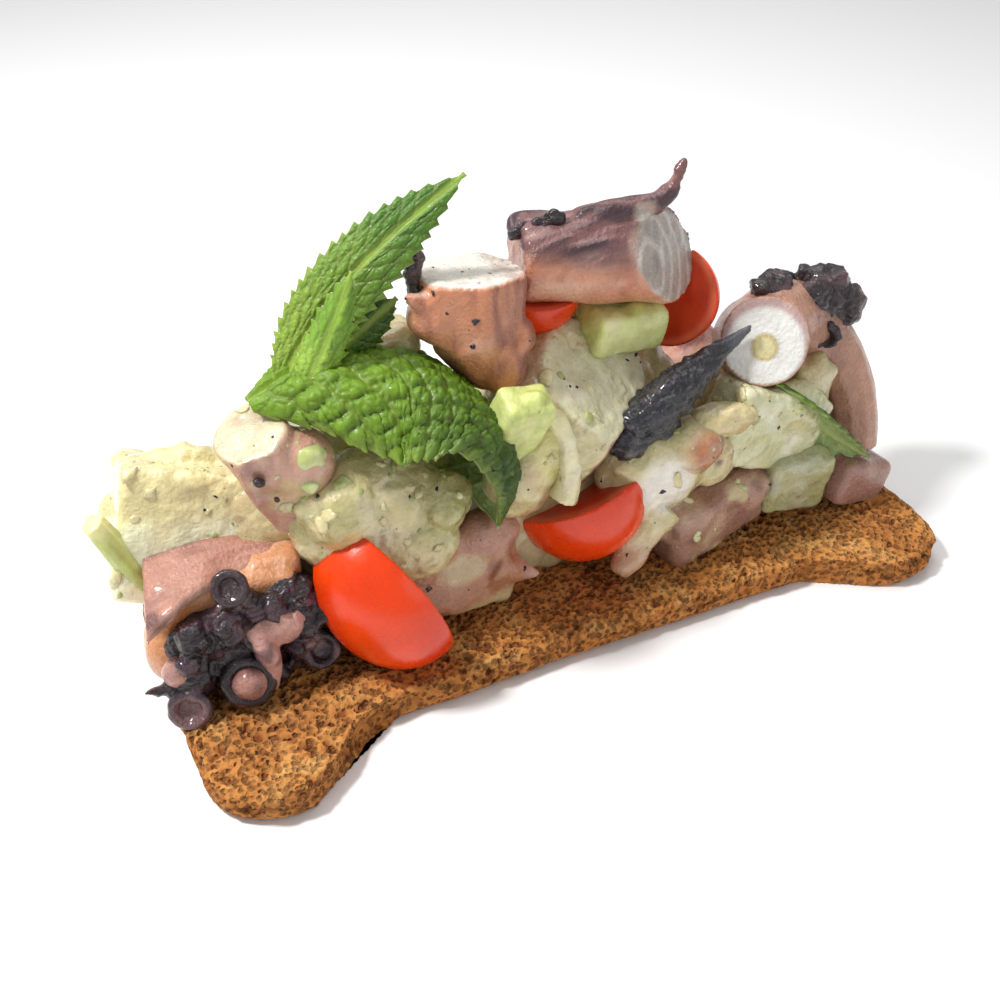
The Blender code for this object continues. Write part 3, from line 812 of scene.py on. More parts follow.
def make_octopus_left():
    """Arm chunk at the left end: a slab of mauve skin over flesh, with its dark sucker side in front."""
    back = [(-59.6, 1.2, 24.6), (-50, 1.0, 24.2), (-39.8, -0.8, 22.8)]
    front = [(-62.6, -11.2, 19.6), (-59.6, -10.6, 21.6), (-55.6, -8.8, 22.6), (-49.6, -7.0, 22.2),
             (-40.6, -4.8, 22.6)]
    slab = flap(back, front, 2.4, 0.5)
    piece = grown("octopus_left_slab", [slab], 0.34, 3)
    p = points_of(piece)
    swell(piece, 0.3 * waves(p, 4, 1, 2) + 0.12 * waves(p * np.array([0.22, 1, 1]), 0.8, 2))
    p, n = points_of(piece), normals_of(piece)
    streak = waves(p * np.array([0.18, 1.0, 1.0]), 1.0, 5, 2)
    colours = blend(plain(piece, "b5806d"), "c79a88", ramp(waves(p, 5, 3, 2), -0.1, 0.6))
    colours = blend(colours, SKIN_MAUVE, 0.6 * ramp(streak, 0.0, 0.7))
    colours = blend(colours, "5f3d39", 0.75 * ramp(p[:, 1], -3, 1.5) * ramp(streak, -0.15, 0.45))
    colours = blend(colours, "d9b0a0", 0.6 * facing(n, (0, -1, 0.1), 0.5, 0.9))
    colours = blend(colours, "54383c", 0.7 * dab(p, (-61, -9, 21), (3, 3, 3))
                    * ramp(waves(p, 1.5, 9), -0.2, 0.4))
    tint(piece, colours, 0.6)
    finish(piece, octopus_skin, "octopus_pink", "octopus_left")

    flesh = grown("octopus_left_flesh", [block((-50.8, -3.6, 14.5), (20, 10, 15), (0, 0, -10), 1.6),
                                         block((-43.5, -4.2, 19), (7, 7, 8), (0, 0, -10), 1.2),
                                         ball((-60, -5, 11), (6, 10, 9))], 0.42, 3)
    p = points_of(flesh)
    swell(flesh, 0.35 * waves(p, 4, 6, 2))
    p = points_of(flesh)
    colours = blend(plain(flesh, "c98a5e"), "dda583",
                    ramp(waves(p * np.array([1, 1, 0.3]), 2, 8, 2), -0.1, 0.6))
    colours = blend(colours, "cf7f3a", 0.8 * dab(p, (-59, -9, 18), (4, 4, 5)))
    colours = blend(colours, "d8a99c", 0.8 * (1 - ramp(p[:, 2], 8, 13)))
    tint(flesh, colours, 0.7)
    finish(flesh, octopus_skin, "octopus_pink")

    web = [ball((-50, -8.6, 13.5), (21, 7, 12)), ball((-57.5, -10, 10), (7, 6, 8)),
           ball((-43, -9.2, 15), (9, 7, 13)),
           ball((-56.5, -10.5, 16.8), (5, 4, 5)), strand([(-58, -10, 8.5, 2.0), (-61.5, -10.5, 8.6, 1.2),
                                                          (-64.6, -11, 9.8, 0.2)])]
    rng = np.random.default_rng(5)
    for k in range(46):
        x, z = rng.uniform(-59.5, -40), rng.uniform(7, 20.5)
        if z > 17.5 and x < -53:
            continue
        web.append(ball((x, -11.6 + 0.9 * rng.uniform(-1, 1), z), rng.uniform(0.9, 4.4, 3),
                        rng.uniform(0, 180, 3), 8))
    cups = [((-50.8, -10.4, 23.2), (-0.25, -0.75, 0.75), 2.5), ((-59.2, -13, 6.9), (-0.3, -0.9, 0.35), 3.0),
            ((-51.0, -13.2, 8.9), (-0.2, -0.9, 0.45), 3.7), ((-40.5, -12.4, 9.6), (0.1, -0.9, 0.4), 2.8)]
    for at, way, radius in cups:
        web += sucker(at, way, radius)
    web += [strand([(-50.6, -10.2, 23.2, 1.6), (-49, -10.4, 20.5, 1.4), (-47.5, -10.5, 18, 2)])]
    dark = grown("octopus_left_membrane", web, 0.33, 1)
    p = points_of(dark)
    loose = warped(p, 0.9, 1.5, 3)
    near, _ = cells(loose, 1.7, 4)
    body = 1 - np.maximum.reduce([dab(p, at, radius * 1.25, 0.25) for at, way, radius in cups])
    swell(dark, body * (0.8 * (0.5 - near) + 0.7 * (0.35 - np.abs(waves(loose, 1.7, 7, 2)))) + 0.08
          * waves(p, 0.8, 9))
    p = points_of(dark)
    colours = blend(plain(dark, "241a20"), "4d3440", ramp(waves(p, 2.2, 11, 2), -0.1, 0.5) * 0.85)
    colours = blend(colours, "8a6a68", ramp(waves(p, 3, 15, 2), 0.25, 0.6) * 0.7)
    colours = blend(colours, "7d5a58", 0.75 * dab(p, (-59.2, -13.5, 6.5), (3.4, 3, 3.4), 0.4))
    colours = blend(colours, "3a262b", 0.9 * dab(p, (-50.8, -10.4, 23.2), (3.2, 3, 3.2), 0.3))
    tint(dark, colours, 0.95 - 0.5 * ramp(waves(p, 1.2, 3), 0, 0.6))
    finish(dark, octopus_membrane, "octopus_dark")

    pale = grown("octopus_left_tag", [strand([(-49, -11.6, 17, 1.5), (-48.0, -13, 14.5, 2.3),
                                              (-47.2, -14.2, 10.6, 1.4),
                                              (-47.8, -14.8, 6.9, 0.25)]), ball((-45, -12, 15.5), (7, 4, 6)),
                                      ball((-59.8, -11.2, 12.2), (4, 3, 5))], 0.3, 2)
    p = points_of(pale)
    swell(pale, 0.25 * waves(p, 1.6, 3, 2))
    colours = blend(plain(pale, "c79488"), "5d4046", ramp(waves(points_of(pale), 2, 6, 2), 0.0, 0.5) * 0.8)
    tint(pale, colours, 0.9)
    finish(pale, octopus_membrane, "octopus_pink")

    dome = ball((-51.0, -14.0, 8.9), (5, 4.4, 5))
    swell(dome, 0.15 * waves(points_of(dome), 2, 3))
    p = points_of(dome)
    tint(dome, blend(plain(dome, "b98374"), "7b544f", ramp(waves(p, 2, 6), 0, 0.7) * 0.8), 0.9)
    finish(dome, octopus_membrane, "octopus_pink")


make_octopus_left()


def make_octopus_top():
    """White cut face on top, orange-pink skin round it."""
    axis = (0.07, 0.11, 1)
    cut_at = (-11.8, 0.5, 55.6)
    parts = [plug((-9.6, -2.2, 39.6), (-11.6, -1, 47.5), 3.2, 7.0, 7, 0.9),
             plug((-11.7, -1, 47), (-11.6, 0.6, 59), 7.2, 8.4, 7, 0.9),
             ball((-17.6, -1.8, 51), (8, 7, 7), (0, 35, 0)),
             strand([(-17, -2.5, 52, 2.4), (-20.5, -3, 54.6, 1.4),
                                                                    (-22.3, -3.2, 56, 0.4)]),
             ball((-8.8, -5.2, 43), (6, 5, 8), (0, 12, 0)), ball((-6.6, -4.2, 46.5), (5, 5, 6))]
    piece = carved("octopus_top_section", parts, [(cut_at, axis)], 0.38, 4)
    p = points_of(piece)
    swell(piece, 0.45 * waves(p, 6, 2, 2) + 0.16 * waves(p * np.array([1, 1, 0.25]), 1.3, 3, 2))
    p, n = points_of(piece), normals_of(piece)
    cut = on_cut(p, n, cut_at, axis, 1.0)
    rim_away = np.linalg.norm((p - np.array(cut_at))[:, :2] / np.array([8.2, 7.4]), axis=1)
    colours = blend(plain(piece, "cf8863"), "dba284", ramp(waves(p, 5, 4, 2), -0.2, 0.6))
    colours = blend(colours, "9b5a4a", 0.7 * ramp(waves(p * np.array([1, 1, 0.25]), 2, 6, 2), 0.05, 0.6))
    colours = blend(colours, "7e4440", 0.75 * facing(n, (0.9, -0.3, 0), 0.35, 0.8))
    colours = blend(colours, "e9e2d6", cut)
    colours = blend(colours, "b09c8e", cut * ramp(waves(p, 3.5, 9, 3), -0.15, 0.5) * 0.75)
    near, _ = cells(p, 1.3, 3)
    specks = (1 - ramp(near, 0.12, 0.26)) * ramp(waves(p, 4, 9), -0.3, 0.2)
    colours = blend(colours, "5d4646", cut * specks * 0.8)
    colours = blend(colours, "c07a5c", cut * ramp(rim_away, 0.86, 0.98) * 0.8)
    tint(piece, colours, 0.7)
    finish(piece, octopus_skin, "octopus_white", "octopus_top")

    scrap = grown("octopus_top_scrap", [ball((-19.2, 0.6, 56.2), (2.6, 2, 5), (0, -15, 20)),
                                        ball((-18.6, 0.4, 58.6), (2.2, 1.6, 2.6)),
                                        ball((-19.8, -0.6, 54), (2, 2.6, 3))], 0.28, 1)
    p = points_of(scrap)
    near, _ = cells(p, 1.3, 6)
    swell(scrap, 0.7 * (0.5 - near))
    tint(scrap, blend(plain(scrap, "2b2226"), "5d4a4c", ramp(waves(p, 1.3, 3), 0, 0.6)), 0.7)
    finish(scrap, octopus_membrane, "octopus_dark")


make_octopus_top()


def make_octopus_back():
    """Round section lying on top: wrinkled dark skin above, pale cut end to the right, a curled tip."""
    cut_at, cut_way = (14.2, -3.6, 52.4), (0.6, -0.72, 0.34)
    parts = [plug((-2.8, 4.0, 53.4), (8, 2.0, 52.6), 5.9, 6.6, 40),
             plug((7.8, 2.0, 52.6), (27, -1.6, 50.6), 6.6, 6.6, 40),
             strand([(6, 2, 56.8, 3.0), (11, 1.6, 58, 2.6), (14.5, 1.2, 58.8, 1.6), (18, 0.6, 59.8, 1.0),
                     (19.2, 0.5, 62, 0.8), (20.6, 0.5, 65, 0.3)])]
    piece = carved("octopus_back_section", parts[:2], [(cut_at, cut_way)], 0.45, 2)
    piece = grown("octopus_back_section", [piece, parts[2]], 0.36, 3)
    p, n = points_of(piece), normals_of(piece)
    cut = on_cut(p, n, cut_at, cut_way, 0.9)
    boundary = p[:, 2] + 0.12 * p[:, 0] + 1.2 * waves(p, 5, 12)
    skin_top = np.maximum(ramp(boundary, 53.6, 56), facing(n, (-0.1, 1, 0.6), 0.1, 0.5)) * (1 - cut)
    ridge = waves(p * np.array([0.22, 1.0, 1.0]), 1.5, 3, 2)
    swell(piece, skin_top * (0.8 * ridge + 0.3) + 0.3 * waves(p, 5, 4) * (1 - cut) + cut * 0.3
          * waves(p, 3, 5, 2))
    p = points_of(piece)
    colours = blend(plain(piece, "d28f70"), "e0ab92",
                    ramp(waves(p * np.array([0.3, 1, 1]), 3, 8, 2), -0.1, 0.6))
    colours = blend(colours, "b0644a", 0.6 * ramp(waves(p, 3, 18, 2), 0.15, 0.6))
    colours = blend(colours, "7a5452", skin_top)
    colours = blend(colours, "35222a", skin_top * ramp(ridge, -0.05, 0.45) * 0.85)
    colours = blend(colours, "b48e86", skin_top * ramp(-ridge, 0.1, 0.55) * 0.6)
    colours = blend(colours, "a99e94", cut)
    centre = np.linalg.norm(p - np.array(cut_at), axis=1)
    colours = blend(colours, "d3cabf", cut * ramp(np.sin(centre * 2.2 + 2 * waves(p, 3, 5)), 0.2, 0.9) * 0.7)
    colours = blend(colours, "6e5f5c", cut * (1 - ramp(centre, 0.6, 2.2)) * 0.5)
    tint(piece, colours, 0.7)
    finish(piece, octopus_skin, "octopus_dark", "octopus_back")

    shreds = [ball((-3.2 + 0.9 * k, 3.8 - 0.4 * k, 57.4 + 0.35 * k + 0.6 * (k % 2)),
                   (2.2, 1.8, 1.6 + 0.6 * (k % 3)),
                   (30 * k, 50 * k, 0), 8) for k in range(7)]
    dark = grown("octopus_back_shreds", shreds, 0.28, 1)
    p = points_of(dark)
    near, _ = cells(p, 1.3, 6)
    swell(dark, 0.6 * (0.5 - near))
    tint(dark, blend(plain(dark, "2a2026"), "5b4448", ramp(waves(p, 1.3, 3), 0, 0.6)), 0.7)
    finish(dark, octopus_membrane, "octopus_dark")


make_octopus_back()


def make_octopus_curl():
    """Curled arm at the right end: white cut face to the front, crumbly dark crest on top."""
    face_at, face_way = Vector((33.0, -6.6, 37.4)), Vector((-0.38, -0.78, 0.48)).normalized()
    parts = [plug(face_at, face_at - face_way * 6, 6.7, 6.9, 40),
             strand([(36, -3, 37, 6.2), (41, 0.5, 36.5, 6.4), (46, 2, 33.5, 5.8), (52, 0, 28, 5.2),
                     (55, -3.5, 20, 4.8), (54, -7, 12, 4.2)])]
    piece = grown("octopus_curled_arm", parts, 0.42, 4)
    p = points_of(piece)
    swell(piece, 0.3 * waves(p, 5, 2, 2))
    p, n = points_of(piece), normals_of(piece)
    colours = plain(piece, "c09078")
    colours = blend(colours, SKIN_MAUVE, 0.5 * ramp(waves(p, 5, 3, 2), -0.1, 0.6))
    colours = blend(colours, SKIN_PURPLE, 0.85 * facing(n, (-0.75, 0.1, -0.65), 0.45, 0.85)
                    * ramp(p[:, 0], 42, 46))
    colours = blend(colours, SKIN_PURPLE, 0.7 * facing(n, (0.8, 0.5, 0.2), 0.55, 0.9))
    cut = facing(n, face_way, 0.85, 0.95) * dab(p, face_at, 9, 0.2)
    colours = blend(colours, "e8e6e0", cut)
    away = np.linalg.norm(p - np.array(face_at - Vector((0, 0, 1))), axis=1)
    colours = blend(colours, "d9cf9c", cut * (1 - ramp(away, 1.8, 2.2)))
    colours = blend(colours, "b09a58", cut * (1 - ramp(np.abs(away - 1.9), 0.1, 0.5)) * 0.6)
    colours = blend(colours, "a9706c", cut * ramp(away, 5.4, 6.4) * 0.7)
    tint(piece, colours, 0.65)
    finish(piece, octopus_skin, "octopus_pink", "octopus_curl")

    crest = [ball((45 + 4.5 * math.cos(k * 2.4), 1 + 2.6 * math.sin(k * 2.4), 40.2 - 0.55 * k), (7, 6, 4),
                  (k * 40, k * 25, 0)) for k in range(7)]
    crest += [ball((52, -1, 36), (7, 5, 7)), ball((37.5, -0.5, 42.5), (7, 5, 3))]
    crest += sucker((47, -3.8, 33.5), (-0.5, -0.8, 0.3), 2.0) + sucker((49.5, -3.6, 27.5),
                                                                       (-0.5, -0.8, 0.1), 1.7)
    dark = grown("octopus_crest", crest, 0.36, 1)
    p = points_of(dark)
    loose = warped(p, 0.9, 1.6, 3)
    near, _ = cells(loose, 2.0, 6)
    swell(dark, 1.0 * (0.55 - near) + 0.7 * (0.35 - np.abs(waves(loose, 1.5, 2, 2))))
    p = points_of(dark)
    colours = blend(plain(dark, SKIN_DARK), "6b4a50", ramp(waves(p, 2.6, 3, 2), 0, 0.6) * 0.8)
    tint(dark, colours, 0.8 - 0.6 * ramp(waves(p, 1.5, 5), 0, 0.6))
    finish(dark, octopus_membrane, "octopus_dark")


make_octopus_curl()


def make_dark_tip():
    """Slender dark arm tip with fine folds and a hooked end."""
    parts = [strand([(8, -10, 30.5, 3.4), (13, -9.5, 32.5, 3.8), (19, -8, 35.3, 3.2), (24.5, -6.5, 37.5, 1.7),
                     (29, -5.5, 38.6, 0.7), (30.5, -6.0, 40.2, 0.25)]),
             ball((8.5, -10.5, 29), (7, 5, 6)), ball((13, -10, 30.5), (8, 5, 6))]
    piece = grown("octopus_tip", parts, 0.34, 2)
    p = points_of(piece)
    fold = waves(p @ np.array([[0.35, 0, 0], [0, 1.1, 0], [-0.3, 0, 1.1]]), 1.2, 3, 2)
    near, _ = cells(warped(p, 0.6, 1.5, 2), 1.6, 4)
    low = 1 - ramp(p[:, 0], 18, 26)
    swell(piece, 0.55 * fold + low * 0.8 * (0.5 - near))
    p = points_of(piece)
    colours = blend(plain(piece, "1b1a20"), "3d3a42", ramp(fold, 0, 0.6) * 0.7)
    colours = blend(colours, "5f6268", 0.7 * ramp(p[:, 0], 24, 29))
    colours = blend(colours, "8d8580", 0.5 * (1 - ramp(p[:, 0], 8, 16)) * ramp(waves(p, 2, 8, 2), 0, 0.5))
    tint(piece, colours, 0.6)
    finish(piece, octopus_membrane, "octopus_dark", "octopus_dark_tip")


make_dark_tip()


def make_octopus_middle():
    """Thick section in a coat of dressing, its pale cut face turned up and to the right."""
    cut_at, cut_way = (6.6, -4.8, 37.9), (0.36, -0.58, 0.73)
    side_at, side_way = (6.4, -10.2, 30.5), (0.62, -0.6, -0.5)
    parts = [ball((2.0, -1.2, 31), (25, 24, 27), (0, 20, 0), 24),
             ball((-7.5, -8, 27), (11, 9, 17), (10, 15, 0)),
             ball((-5, -5.5, 36), (11, 9, 9)), ball((9, -3, 37), (13, 12, 10))]
    piece = carved("octopus_middle_section", parts, [(cut_at, cut_way), (side_at, side_way)], 0.42, 4)
    creamed(piece, 4, 0.55)
    p, n = points_of(piece), normals_of(piece)
    colours = dressed_colours(piece, 4, green=0.35, tan=0.6)
    colours = blend(colours, "cf9f84", 0.6 * dab(p, (-3, -5, 40), (7, 6, 6)))
    colours = blend(colours, "d9d67e", 0.5 * dab(p, (-5, -11, 33), (4, 4, 8)))
    cut = on_cut(p, n, cut_at, cut_way, 1.2)
    skin = on_cut(p, n, side_at, side_way, 1.4)
    colours = blend(colours, "d7d3ae", cut * 0.9)
    colours = blend(colours, "efe9cf", cut * ramp(waves(p, 3, 5, 2), 0, 0.6) * 0.7)
    colours = blend(colours, "a06a5a", skin * 0.95)
    colours = blend(colours, "4c3036", skin * ramp(waves(p, 3, 9, 2), -0.05, 0.4) * 0.9)
    tint(piece, colours, 0.65)
    finish(piece, dressed, "octopus_white", "octopus_middle")

    drip = grown("dressing_drip", [strand([(-9, -9.6, 38, 1.0), (-5.2, -10.4, 39, 1.5),
                                           (-2.8, -11, 35.5, 1.4),
                                          (-2.2, -12.2, 31, 1.5), (-2.0, -12.6, 27, 1.8),
                                          (-3.2, -12.4, 24, 2.2)])], 0.34, 3)
    p = points_of(drip)
    swell(drip, 0.35 * waves(p, 2.5, 2, 2))
    tint(drip, dressed_colours(drip, 14, "e4dba8", "efe8c4", 0.35, 0.1), 0.8)
    finish(drip, dressed, "dressed_salad")


make_octopus_middle()


def make_octopus_front():
    """Flat pink-tan piece at the front with a ragged pale lower edge and a pointed right end."""
    parts = [block((-19, -7.5, 13.5), (20, 8, 14), (-12, 10, 6), 2.5), ball((-14, -8, 17), (12, 7, 9)),
             ball((-24, -9, 11), (9, 6, 9)), ball((-16, -9.6, 8.2), (13, 5, 4)),
             strand([(-13, -9, 13, 3.6), (-9, -9.8, 10.6, 2.2), (-5.5, -10.3, 8.6, 0.5)])]
    piece = grown("octopus_front_piece", parts, 0.42, 4)
    p = points_of(piece)
    swell(piece, 0.5 * waves(p, 4, 2, 2) + 0.2 * waves(p, 1.8, 3))
    p = points_of(piece)
    colours = plain(piece, "b07a58")
    colours = blend(colours, SKIN_PINK, ramp(waves(p, 5, 6, 2), -0.2, 0.6) * 0.7)
    colours = blend(colours, DRESSING, 0.8 * (1 - ramp(p[:, 2] + waves(p, 3, 7), 7, 9.5)))
    colours = blend(colours, "d5c79c", 0.7 * dab(p, (-18, -12, 15), (5, 5, 3)))
    colours = blend(colours, "e6c6b4", 0.7 * ramp(p[:, 0], -10, -6))
    tint(piece, colours, 0.65)
    finish(piece, octopus_skin, "octopus_pink", "octopus_front")


make_octopus_front()


def make_octopus_right_front():
    """Dressed chunk at the front right: white flesh, a red patch and a slender leg to the toast."""
    parts = [ball((14.8, -8.2, 22), (22, 12, 16), (0, 10, 8)), ball((18.5, -10.5, 25.5), (11, 9, 9)),
             ball((9, -10, 20), (10, 8, 11)), ball((23, -9, 21), (10, 9, 10)),
             strand([(14, -11, 16, 4.2), (10, -12.5, 12, 3.0), (6.5, -13.5, 7.0, 1.5)])]
    piece = grown("octopus_right_chunk", parts, 0.42, 4)
    p = points_of(piece)
    swell(piece, 0.8 * waves(p, 4, 2, 2) + 0.2 * waves(p, 1.6, 3))
    p = points_of(piece)
    colours = dressed_colours(piece, 8, green=0.2, tan=0.3)
    colours = blend(colours, "f0eae0", 0.85 * dab(p, (13, -14, 22), (6, 6, 6)))
    colours = blend(colours, "b2603f", 0.8 * dab(p, (20, -14, 26), (5.5, 5, 4.5), 0.6))
    speck = ramp(waves(p, 1.6, 5), 0.15, 0.5)
    colours = blend(colours, "4f2b33", 0.85 * speck * dab(p, (22, -13, 24), (5, 5, 5)))
    colours = blend(colours, "c28c72", 0.75 * (1 - ramp(p[:, 2], 10, 15)))
    tint(piece, colours, 0.65)
    finish(piece, dressed, "octopus_white", "octopus_right_front")


make_octopus_right_front()


def make_octopus_right_low():
    """Mauve piece under a thin coat of dressing, low at the right."""
    parts = [block((24, -9.0, 10.5), (19, 9, 11), (0, -8, 12), 2.5), ball((30, -9, 13), (12, 9, 8)),
             ball((17, -10.5, 12), (9, 6, 9))]
    piece = grown("octopus_right_piece", parts, 0.42, 4)
    p = points_of(piece)
    swell(piece, 0.6 * waves(p, 4, 2, 2) + 0.2 * waves(p, 1.8, 3))
    p = points_of(piece)
    colours = plain(piece, "a57a68")
    colours = blend(colours, "c7a58c", ramp(waves(p, 4, 6, 2), -0.1, 0.5) * 0.8)
    colours = blend(colours, DRESSING, ramp(waves(p, 3, 9, 2), 0.2, 0.6) * 0.7)
    colours = blend(colours, "6b4440", ramp(waves(p, 3, 12, 2), 0.25, 0.6) * 0.6)
    tint(piece, colours, 0.65)
    finish(piece, octopus_skin, "octopus_pink", "octopus_right_low")

    end = grown("octopus_end_piece", [block((52, -9.2, 8.9), (12, 9, 8), (0, 20, 10), 1.8),
                                      ball((51, -8.5, 9), (11, 8, 8))],
                0.42, 4)
    p = points_of(end)
    swell(end, 0.35 * waves(p, 4, 2, 2))
    p, n = points_of(end), normals_of(end)
    colours = blend(plain(end, "a87e70"), "7d4f4a", ramp(waves(p, 3, 4, 2), 0, 0.6) * 0.7)
    colours = blend(colours, "d8b8a8", facing(n, (0, 0, -1), 0.0, 0.6) * 0.5)
    tint(end, colours, 0.9)
    finish(end, octopus_skin, "octopus_pink", "octopus_right_end")


make_octopus_right_low()


def make_dressed_left():
    """Octopus section on the left, its white cut face up and skin to the front."""
    cut_at, cut_way = (-42.3, -2.4, 41.6), (-0.35, -0.15, 0.9)
    side_at, side_way = (-42.3, -7.2, 35), (-0.25, -0.9, -0.1)
    parts = [plug((-45.5, -1.6, 46), (-38.5, -6.4, 27), 5.4, 4.2, 8), ball((-37.5, -5, 36), (8, 8, 10)),
             ball((-45.5, -2, 39.5), (6, 7, 7))]
    piece = carved("octopus_left_section", parts, [(cut_at, cut_way), (side_at, side_way)], 0.38, 4)
    p = points_of(piece)
    swell(piece, 0.4 * waves(p, 4.5, 2, 2))
    p, n = points_of(piece), normals_of(piece)
    colours = blend(plain(piece, "c99a84"), "8f5c50",
                    ramp(waves(p * np.array([1, 1, 0.3]), 2.5, 3, 2), 0, 0.6) * 0.7)
    colours = blend(colours, DRESSING, ramp(waves(p, 4, 13, 2), 0.05, 0.5) * 0.8)
    cut = on_cut(p, n, cut_at, cut_way, 1.2)
    colours = blend(colours, "d9ccaa", cut * 0.95)
    colours = blend(colours, "b9a184", cut * ramp(waves(p, 2.5, 8, 2), 0, 0.5) * 0.6)
    tint(piece, colours, 0.65)
    finish(piece, dressed, "octopus_white", "octopus_dressed_left")
    for k, (at, size) in enumerate((((-46.6, -5.0, 38.6), 1.5), ((-44.4, -7.4, 36.4), 2.0),
                                    ((-42.6, -8.0, 33.6), 1.1))):
        bit = ball(at, (size, size * 0.7, size * 0.6), (20, 30 * k, 40))
        swell(bit, 0.2 * waves(points_of(bit), 1, k))
        bit.name = f"skin_bit_{k}"
        tint(bit, plain(bit, "2f2328"), 0.8)
        finish(bit, octopus_membrane, "octopus_dark")
    for k, (at, size) in enumerate((((-37.4, -6.9, 38.0), 4.0), ((-38.0, -7.6, 34.8), 2.8),
                                    ((-33.9, -8.6, 33.4), 2.2))):
        pea = ball(at, (size * 1.15, size, size), (0, 20, 0))
        swell(pea, 0.55 * waves(points_of(pea), 1.6, k, 2))
        pea.name = f"celery_dice_{k}"
        tint(pea, blend(plain(pea, "b3bd74"), "d4d89e", ramp(waves(points_of(pea), 2, k), 0, 0.6)), 0.8)
        finish(pea, celery_cut, "celery")


make_dressed_left()

# ------------------------------------------------------------------------------ potato, celery and onion


def make_potato_left():
    """Broad pale potato block at the left with a bumpy yellow upper rim."""
    parts = [block((-53.5, 6.5, 22), (19, 15, 19), (-22, 16, -8), 2.0),
             ball((-50, 10, 29), (16, 6, 6), (0, 20, 0)),
             ball((-60, 9, 25.5), (8, 6, 6))]
    piece = grown("potato_left_block", parts, 0.45, 4)
    p = points_of(piece)
    swell(piece, 0.5 * waves(p, 5, 2, 2) + 0.45 * ramp(p[:, 2], 24, 30) * waves(p, 2, 3, 2))
    p = points_of(piece)
    colours = blend(plain(piece, POTATO), "e6e8cc", ramp(waves(p, 6, 3, 2), -0.1, 0.6))
    colours = blend(colours, POTATO_YELLOW, ramp(p[:, 2] + 3 * waves(p, 4, 6), 25, 30) * 0.8)
    colours = blend(colours, "c9a05c", ramp(waves(p, 3, 8, 2), 0.3, 0.7) * 0.35)
    near, _ = cells(p, 2.6, 6)
    colours = blend(colours, "5a4a40", (1 - ramp(near, 0.05, 0.12)) * 0.7)
    tint(piece, colours, 0.55)
    finish(piece, dressed, "dressed_salad", "potato_left")


make_potato_left()


def make_potato_middle():
    """Glossy dressed lump in the middle left with bubbles and soft knobs."""
    parts = [ball((-29.5, -5.5, 25), (24, 13, 20), (-10, 14, 0)), ball((-25, -9, 20), (14, 8, 12)),
             ball((-34, -8, 28), (11, 8, 12)), ball((-20, -8, 26), (9, 8, 9)), ball((-38, -7, 30), (5, 4, 5)),
             ball((-36.5, -8.5, 26.5), (4, 4, 4))]
    piece = grown("potato_middle_lump", parts, 0.42, 4)
    p = creamed(piece, 2, 0.9, 3.6)
    colours = dressed_colours(piece, 12, green=0.6, tan=0.35)
    colours = blend(colours, DRESSING_GREEN, 0.6 * dab(p, (-20, -11, 25), (8, 8, 7), 0.8))
    colours = blend(colours, "c8a860", 0.5 * dab(p, (-26, -12, 17), (9, 6, 6), 0.8))
    tint(piece, colours, 0.75)
    finish(piece, dressed, "dressed_salad", "potato_middle")


make_potato_middle()


def make_lump(name, node, slot, at, size, turned, seed, surface=None, squared=True, colours=None, relief=0.5):
    """One more cut piece with its own lumps."""
    parts = [block(at, [s * 0.94 for s in size], turned, min(size) * 0.2)] if squared else []
    offset = [0.18 * s * (-1) ** k for k, s in enumerate(size)]
    parts += [ball(at, size, turned), ball([a + o for a, o in zip(at, offset)], [0.7 * s for s in size],
                                           turned)]
    piece = grown(name, parts, 0.42, 3)
    creamed(piece, seed, relief)
    tint(piece, colours(piece) if colours else dressed_colours(piece, seed), 0.65)
    finish(piece, surface or dressed, slot, *([node] if node else []))
    return piece


def celery_colours(seed, pale=0.6):
    def colours(piece):
        p = points_of(piece)
        made = blend(plain(piece, CELERY), CELERY_PALE, ramp(waves(p, 4, seed, 2), -0.3, 0.5) * pale)
        made = blend(made, "a5b25c", ramp(waves(p * np.array([1, 1, 0.2]), 1.1, seed + 3), 0.1, 0.7) * 0.4)
        return blend(made, DRESSING_PALE, ramp(waves(p, 3, seed + 5, 2), 0.2, 0.7) * 0.5)
    return colours


make_lump("potato_right_lump", "potato_right", "dressed_salad", (43.5, -2.5, 22), (9, 9, 17), (0, 12, 0), 21)
make_lump("onion_behind_mint", "potato_back_left", "onion", (-22.5, 4, 44), (8, 8, 9), (0, 10, 0), 23)
make_lump("onion_sliver", "onion_strip", "onion", (24, -10.5, 28.5), (11, 6, 5), (0, 12, 0), 25,
          squared=False)
make_lump("celery_slab_right", "celery_right", "celery", (34.5, -7, 22.5), (22, 9, 14), (0, 24, 6), 31,
          colours=lambda piece: dressed_colours(piece, 31, "d0cfa0", "e4e4c8", 0.6, 0.1))
make_lump("celery_low_right", "celery_right_low", "celery", (40, -8.5, 12), (13, 9, 11), (0, 10, 0), 33,
          colours=lambda piece: dressed_colours(piece, 33, "b9b892", "cdccae", 0.6, 0.1))
make_lump("celery_block_top", "celery_top", "celery", (12, 0.5, 42), (13, 8.5, 7), (5, 8, 6), 35, celery_cut,
          colours=celery_colours(35))
make_lump("celery_block_middle", "celery_middle", "celery", (-9.8, -10.3, 37), (8, 6, 12), (20, 12, 5), 37,
          celery_cut, colours=celery_colours(37), relief=0.25)


